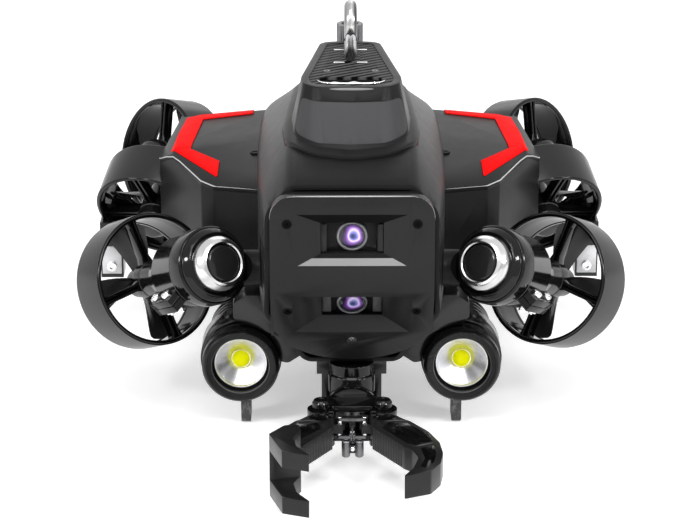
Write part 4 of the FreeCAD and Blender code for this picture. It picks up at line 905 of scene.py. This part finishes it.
def add_wing_details():
    """Painted highlight along each wing's front edge at the parting line, and the sunk screw on top of it."""
    shell = nodes["hull_upper_shell"]
    inverse = shell.matrix_world.inverted()
    corners = rounded([(53, -98.9, 0), (79, -89, 6), (87, -80, 6), (115, -20, 6), (112.5, -8, 0)], False, 6)
    per_side, search = 6, 0.004
    screw_x, screw_y = 56, -49
    for side, sign in SIDES:
        path = []
        for a, b in zip(corners, corners[1:]):
            for k in range(per_side):
                p = a.lerp(b, k / per_side)
                want = UPRIGHT @ Vector((sign * p.x, p.y, wing_top(p.x, p.y) - 0.5))
                found, at, _, _ = shell.closest_point_on_mesh(inverse @ want, distance=search)
                if found:
                    path.append(UPRIGHT.inverted() @ (shell.matrix_world @ at))
        # A painted highlight strip along the wing's front edge.
        ribbon("parting_line_painted_highlight_" + side, path, 0.42, "painted_highlight", "hull_plastic")
        turned("wing_screw_" + side, [
            (0, 0.2, 0), (1.7, 0.2, 0), (1.9, 0.5, 0.1), (2.9, 0.5, 0.1), (3.3, 0.2, 0.1), (3.3, -0.6, 0),
            (0, -0.6, 0)], "deep", "steel", upright_at(sign * screw_x, screw_y, wing_top(screw_x, screw_y)),
            segments=48)


# ---------------- tower top

def shackle_tine(side, end, deck, height):
    """bmesh of a flattened tine that rises from the deck, leans out to its end and thins at both ends."""
    bm = bmesh.new()
    rows = []
    steps, around, foot = 20, 24, 0.8
    for j in range(steps + 1):
        t = j / steps
        x = side * (2.6 - 1.7 * min(1, t / 0.45) ** 1.3)
        y = end * (7.5 + 1.5 * t)
        grow = (0.3 + 0.7 * min(1, t * 2.5) ** 0.6) * (1 - 0.25 * max(0, t - 0.7) / 0.3)
        rows.append([bm.verts.new((x + 2 * grow * cos(a), y + 3.2 * grow * sin(a),
                                   deck + foot + (height - foot) * t)) for a in turns(around)])
    skin(bm, rows)
    return bm


def add_shackle():
    """Lifting eye: a round bow in the centre plane on four tines, over a black foot with bright clips."""
    low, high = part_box("lifting_shackle")
    deck, top, y = low.z / MM, high.z / MM, (low.y + high.y) / 2 / MM
    rod, loop = 3.6, 9
    around, across = 96, 28
    centre = Vector((0, y, top - rod - loop))
    bm = bmesh.new()
    rings = []
    for a in turns(around):
        out = Vector((0, cos(a), sin(a)))
        rings.append([bm.verts.new(centre + out * (loop + rod * cos(t))
                                   + Vector((rod * sin(t), 0, 0))) for t in turns(across)])
    skin(bm, rings, wrap=True)
    # The bow's steel carries painted reflections.
    bow = piece("shackle_bow", bm, "shackle", "chrome", Matrix.Scale(MM, 4), angle=60)
    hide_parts("lifting_shackle")
    upright = Matrix.Translation(Vector((0, y, 0)) * MM) @ Matrix.Scale(MM, 4)
    for end, place in ((-1, "_front"), (1, "_rear")):
        for side, sign in SIDES:
            tine = shackle_tine(sign, end, deck, top - loop - rod - 1 - deck)
            piece("shackle_tine_" + side + place, tine, "tine", "chrome", upright, angle=50)
    foot = block((-5.4, 5.4), (-15, 11.5), (deck - 0.1, deck + 0.8), 2, edge=0.3)
    piece("shackle_foot", foot, "carbon", "anodised_black", upright)
    for at, name in ((-15.6, "front"), (12.1, "rear")):
        for side, sign in reversed(SIDES):
            start, end, half = sign * 3.4, sign * 9.6, 0.55
            clip = slab([(start, at - half, 0.4), (end, at - half, 0.5), (end, at + half, 0.5),
                         (start, at + half, 0.4)], deck - 0.2, deck + 0.7, edge=0.25)
            piece("shackle_clip_%s_%s" % (name, side), clip, "bright", "chrome", upright)
    turned("shackle_post", [
        (0, deck - 0.1, 0), (2.2, deck - 0.1, 0.3), (2.8, deck + 1, 0.8), (1, deck + 3.4, 1.5),
        (0.4, deck + 6, 0.2), (0, deck + 6.1, 0)], "black", "anodised_black",
        upright @ Matrix.Translation((0, -12.5, 0)), segments=32)


def add_tower_trim():
    """Bright lips of the finger slot, and painted highlights along the edges of the tower's front and flanks.
    """
    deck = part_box("handle_tower")[1].z / MM
    slot_x, slot_y, middle = 18.5, 7, -132.5
    front, back = [], []
    for j in range(49):
        t = -1 + 2 * j / 48
        u = copysign(1 - (1 - abs(t)) ** 1.6, t)
        depth = sqrt(max(0, 1 - abs(u) ** 4))
        front.append(Vector((u * slot_x, middle - (slot_y + 0.4) * depth, deck + 0.05)))
        back.append(Vector((u * (slot_x - 2.5), middle + slot_y * depth - 1.2,
                            deck - 3.4 + 0.5 * sin(9 * u + 0.6))))
    ribbon("slot_lip", front, 0.85, "bright", "anodised_black", flat=0.6)
    ribbon("slot_liner", back, 0.55, "light_metal", "anodised_black")
    # Painted highlight along the tower's front top edge.
    edge = [Vector((x, -148.6 + 2 * (x / 20) ** 2, deck - 0.9)) for x in range(-12, 13)]
    ribbon("tower_edge_painted_highlight", edge, 0.8, "bright_painted_light", "hull_plastic")
    # Painted highlights along the tower's flanks.
    for side, sign in SIDES:
        flank = [Vector((sign * (27.6 - 10.4 * t), -128 + 74 * t, deck - 0.35))
                 for t in (k / 24 for k in range(25))]
        ribbon("tower_flank_painted_highlight_" + side, flank, 0.45, "shade", "hull_plastic")


# ---------------- fasteners

def add_fasteners():
    """Black cap screws in the nose plate, each in a dark ring of painted shade, grey ones on the carbon
    plate, bright ones on the side plates.
    """
    upper, lower = camera_frames()
    y = upper.translation.y
    up, down, screw_x = 38, 16, 35
    tower_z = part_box("carbon_top_plate")[1].z / MM - 0.6
    low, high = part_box("side_plates")
    for side, sign in reversed(SIDES):
        heights = (("top", upper, y, BEND_Z + up), ("low", lower, y + down * sin(LOWER_TILT) * MM,
                                                    BEND_Z - down * cos(LOWER_TILT)))
        for name, face, at_y, z in heights:
            place = face.copy()
            place.translation = Vector((sign * screw_x * MM, at_y, z * MM))
            outward = place @ Matrix.Translation((0, 0, 1.9)) @ Matrix.Rotation(pi, 4, "X")
            tag = "_%s_%s" % (name, side)
            screw = piece("plate_screw" + tag, socket_screw(1.8, 1.4, 0.9, 1), "deep", "steel", outward)
            # A dark ring of painted shade round the screw, standing for its countersink.
            turned("plate_sink_painted_shade" + tag, [
                (1.85, 0.5, 0), (1.85, -0.1, 0.05), (2.75, -0.1, 0.05), (2.8, 0.3, 0)], "deep",
                "faceplate_plastic", place, segments=48)
        piece("tower_screw_" + side, socket_screw(1.9, 0.8, 0.9, 0.6), "dim_metal", "steel",
              upright_at(sign * 13.5, -112, tower_z))
        x = (high.x if sign > 0 else low.x) - sign * 6 * MM
        piece("side_screw_" + side, socket_screw(3.2, 1.5, 1.6, 1.2), "bright", "steel",
              axes(Vector((x, low.y, low.z + 5 * MM)), (0, -1, 0)))
    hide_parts("screws")


# ---------------- gripper

# Length of the jaws' inner arms, which the crosshead's pins drive, and half of their swing.
CRANK, HALF_SWING = 10, radians(11)


def add_gripper():
    """Bright push rod with its crosshead and yoke, the rod's guide, the neck and the pivots' caps."""
    low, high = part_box("push_rod")
    z = (low.z + high.z) / 2 / MM
    front, rear = (low.y - MID_Y) / MM, (high.y - MID_Y) / MM
    pivot = joints["jaw_right_swing"]["pos_m"]
    pivot_x, pivot_y = pivot[0] / MM, (pivot[1] - MID_Y) / MM
    pin_y = pivot_y - CRANK * tan(HALF_SWING)

    def bar(name, half, y, heights, corner, edge, material, body="push_rod"):
        bm = block((-half, half), y, [z + h for h in heights], corner, edge)
        piece(name, bm, material, "anodised_black", body=body)

    rod = turned("rod_bar", [
        (0, rear, 0), (1.7, rear, 0.1), (1.7, front + 22, 0.2), (1.15, front + 21, 0.3),
        (1.15, front + 9.5, 0.3), (1.9, front + 8.6, 0.3), (1.9, front + 5.6, 0.3), (1.3, front + 4.6, 0.3),
        (1.5, front + 1.2, 0.8), (0, front + 0.1, 0)], "bright", "chrome",
        upright_at(0, 0, z) @ Matrix.Rotation(radians(-90), 4, "X"), body="push_rod", segments=40)
    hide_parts("push_rod")
    across = (pin_y - 2.1, pin_y + 2.1)
    bar("crosshead_upper", 8.3, across, (4.3, 6.1), 1.6, 0.3, "dim_metal")
    bar("crosshead_lower", 8.3, across, (-6.1, -4.3), 1.6, 0.3, "dim_metal")
    bar("crosshead_bridge", 1.7, across, (-4.4, 4.4), 0.3, 0.1, "anodised")
    for side, sign in SIDES:
        turned("crosshead_pin_" + side, [
            (0, z - 4.5, 0), (1.45, z - 4.5, 0), (1.45, z + 6.4, 0.3), (0, z + 6.6, 0)], "bright", "chrome",
            upright_at(sign * 7, pin_y), body="push_rod", segments=28)
        turned("yoke_" + side, [
            (0, z - 4.9, 0), (1.6, z - 4.9, 0.5), (2.35, z - 4.2, 0.6), (2.35, z + 4.2, 0.6),
            (1.6, z + 4.9, 0.5), (1.2, z + 4.5, 0.2), (0, z + 4.5, 0)], "dim_metal", "anodised_black",
            upright_at(sign * 3.6, front + 2.4), body="push_rod", segments=40)
    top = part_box("gripper_bracket")[1].z / MM
    turned("gripper_neck", [
        (0, z + 6, 0), (13.4, z + 6, 0.6), (13.4, top - 7, 1), (12.4, top - 6, 0.5), (12.4, top, 0.5),
        (0, top, 0)], "gloss", "anodised_black", upright_at(0, -166))
    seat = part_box("gripper_pins")[1].z / MM
    for side, sign in SIDES:
        turned("pivot_cap_" + side, [
            (0, seat - 2, 0), (4.9, seat - 2, 0.3), (4.9, seat + 0.8, 0.3), (3.8, seat + 2.4, 1.4),
            (1.8, seat + 2.9, 1), (1.3, seat + 2.2, 0.2), (0, seat + 2.2, 0)], "gloss", "anodised_black",
            upright_at(sign * pivot_x, pivot_y), angle=50, segments=64, steps=7)
    bar("rod_guide", 4.2, (pin_y + 6.4, pin_y + 10.6), (3, 9.5), 0.5, 0.5, "dim_metal", BODY)
    bar("yoke_web", 3.6, (front + 1, front + 4.4), (-2.4, 2.4), 0.5, 0.3, "anodised")


def add_jaw_details():
    """Dark glossy insets of painted shade standing for the jaws' recessed pockets, and painted highlights
    along the jaws' edges.
    """
    height = (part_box("push_rod")[0].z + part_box("push_rod")[1].z) / 2 / MM
    top = height + 6.5
    near = [(20, -214.5, 1), (29.5, -215.5, 1.5), (38, -228.5, 4), (42.8, -241.5, 1.5), (33.5, -246.5, 1.5),
            (28.5, -243.5, 2), (16, -223, 1)]
    far = [(36, -250.5, 1), (43.2, -245.5, 1.5), (44.3, -257, 4), (42.6, -268.5, 3), (38.6, -276.2, 1),
           (35.3, -274.5, 1), (38, -263.5, 4)]
    fork = near[:2] + [(37.5, -228.5, 4), (39.3, -239.5, 1.5), (30, -240.5, 1.5)] + near[-1:]
    for name, outline, body in (("near", near, "jaw_right"), ("far", far, "jaw_right"),
                                ("fork", fork, "jaw_left")):
        # Each pocket is a thin dark inset on the jaw's top: painted shade.
        piece("jaw_pocket_painted_shade_" + name, slab(outline, top - 0.4, top + 0.1, edge=0.08), "gloss",
              "anodised_black", flip=body == "jaw_left", body=body)

    # Grey strips along the pockets' and prongs' edges are painted highlights.
    shoulder = [(17.5, -214), (24, -212.8), (30, -214.2)]
    prong = [(43.9, -257.6), (37, -279.3), (22.9, -284.9)]
    for name, points, z, half, body in (
            ("jaw_rim_near_painted_highlight", shoulder, top + 0.1, 0.35, "jaw_right"),
            ("jaw_rim_cross_painted_highlight", [(33.5, -248.2), (43.6, -243.4)], top + 0.1, 0.35, "jaw_right"),
            ("jaw_rim_front_painted_highlight", [(46.2, -268), (40.3, -280), (27, -286.1)], top - 0.15, 0.28, "jaw_right"),
            ("fork_rim_near_painted_highlight", shoulder, top + 0.1, 0.35, "jaw_left"),
            ("fork_rim_upper_painted_highlight", prong, height + 17.65, 0.28, "jaw_left"),
            ("fork_rim_lower_painted_highlight", prong, height - 8.65, 0.28, "jaw_left")):
        corners = rounded([(*p, 3) for p in points], False, steps=6)
        path = [Vector((*a.lerp(b, k / 4), z)) for a, b in zip(corners, corners[1:]) for k in range(4)]
        path.append(Vector((*corners[-1], z)))
        ribbon(name, path, half, "shade", "anodised_black", body=body, flip=body == "jaw_left")


add_camera()
add_stage()
dress_nodes()
add_thrusters()
add_headlamps()
add_floodlamps()
add_cameras()
add_plate_details()
add_wing_details()
add_shackle()
add_tower_trim()
add_fasteners()
add_gripper()
add_jaw_details()
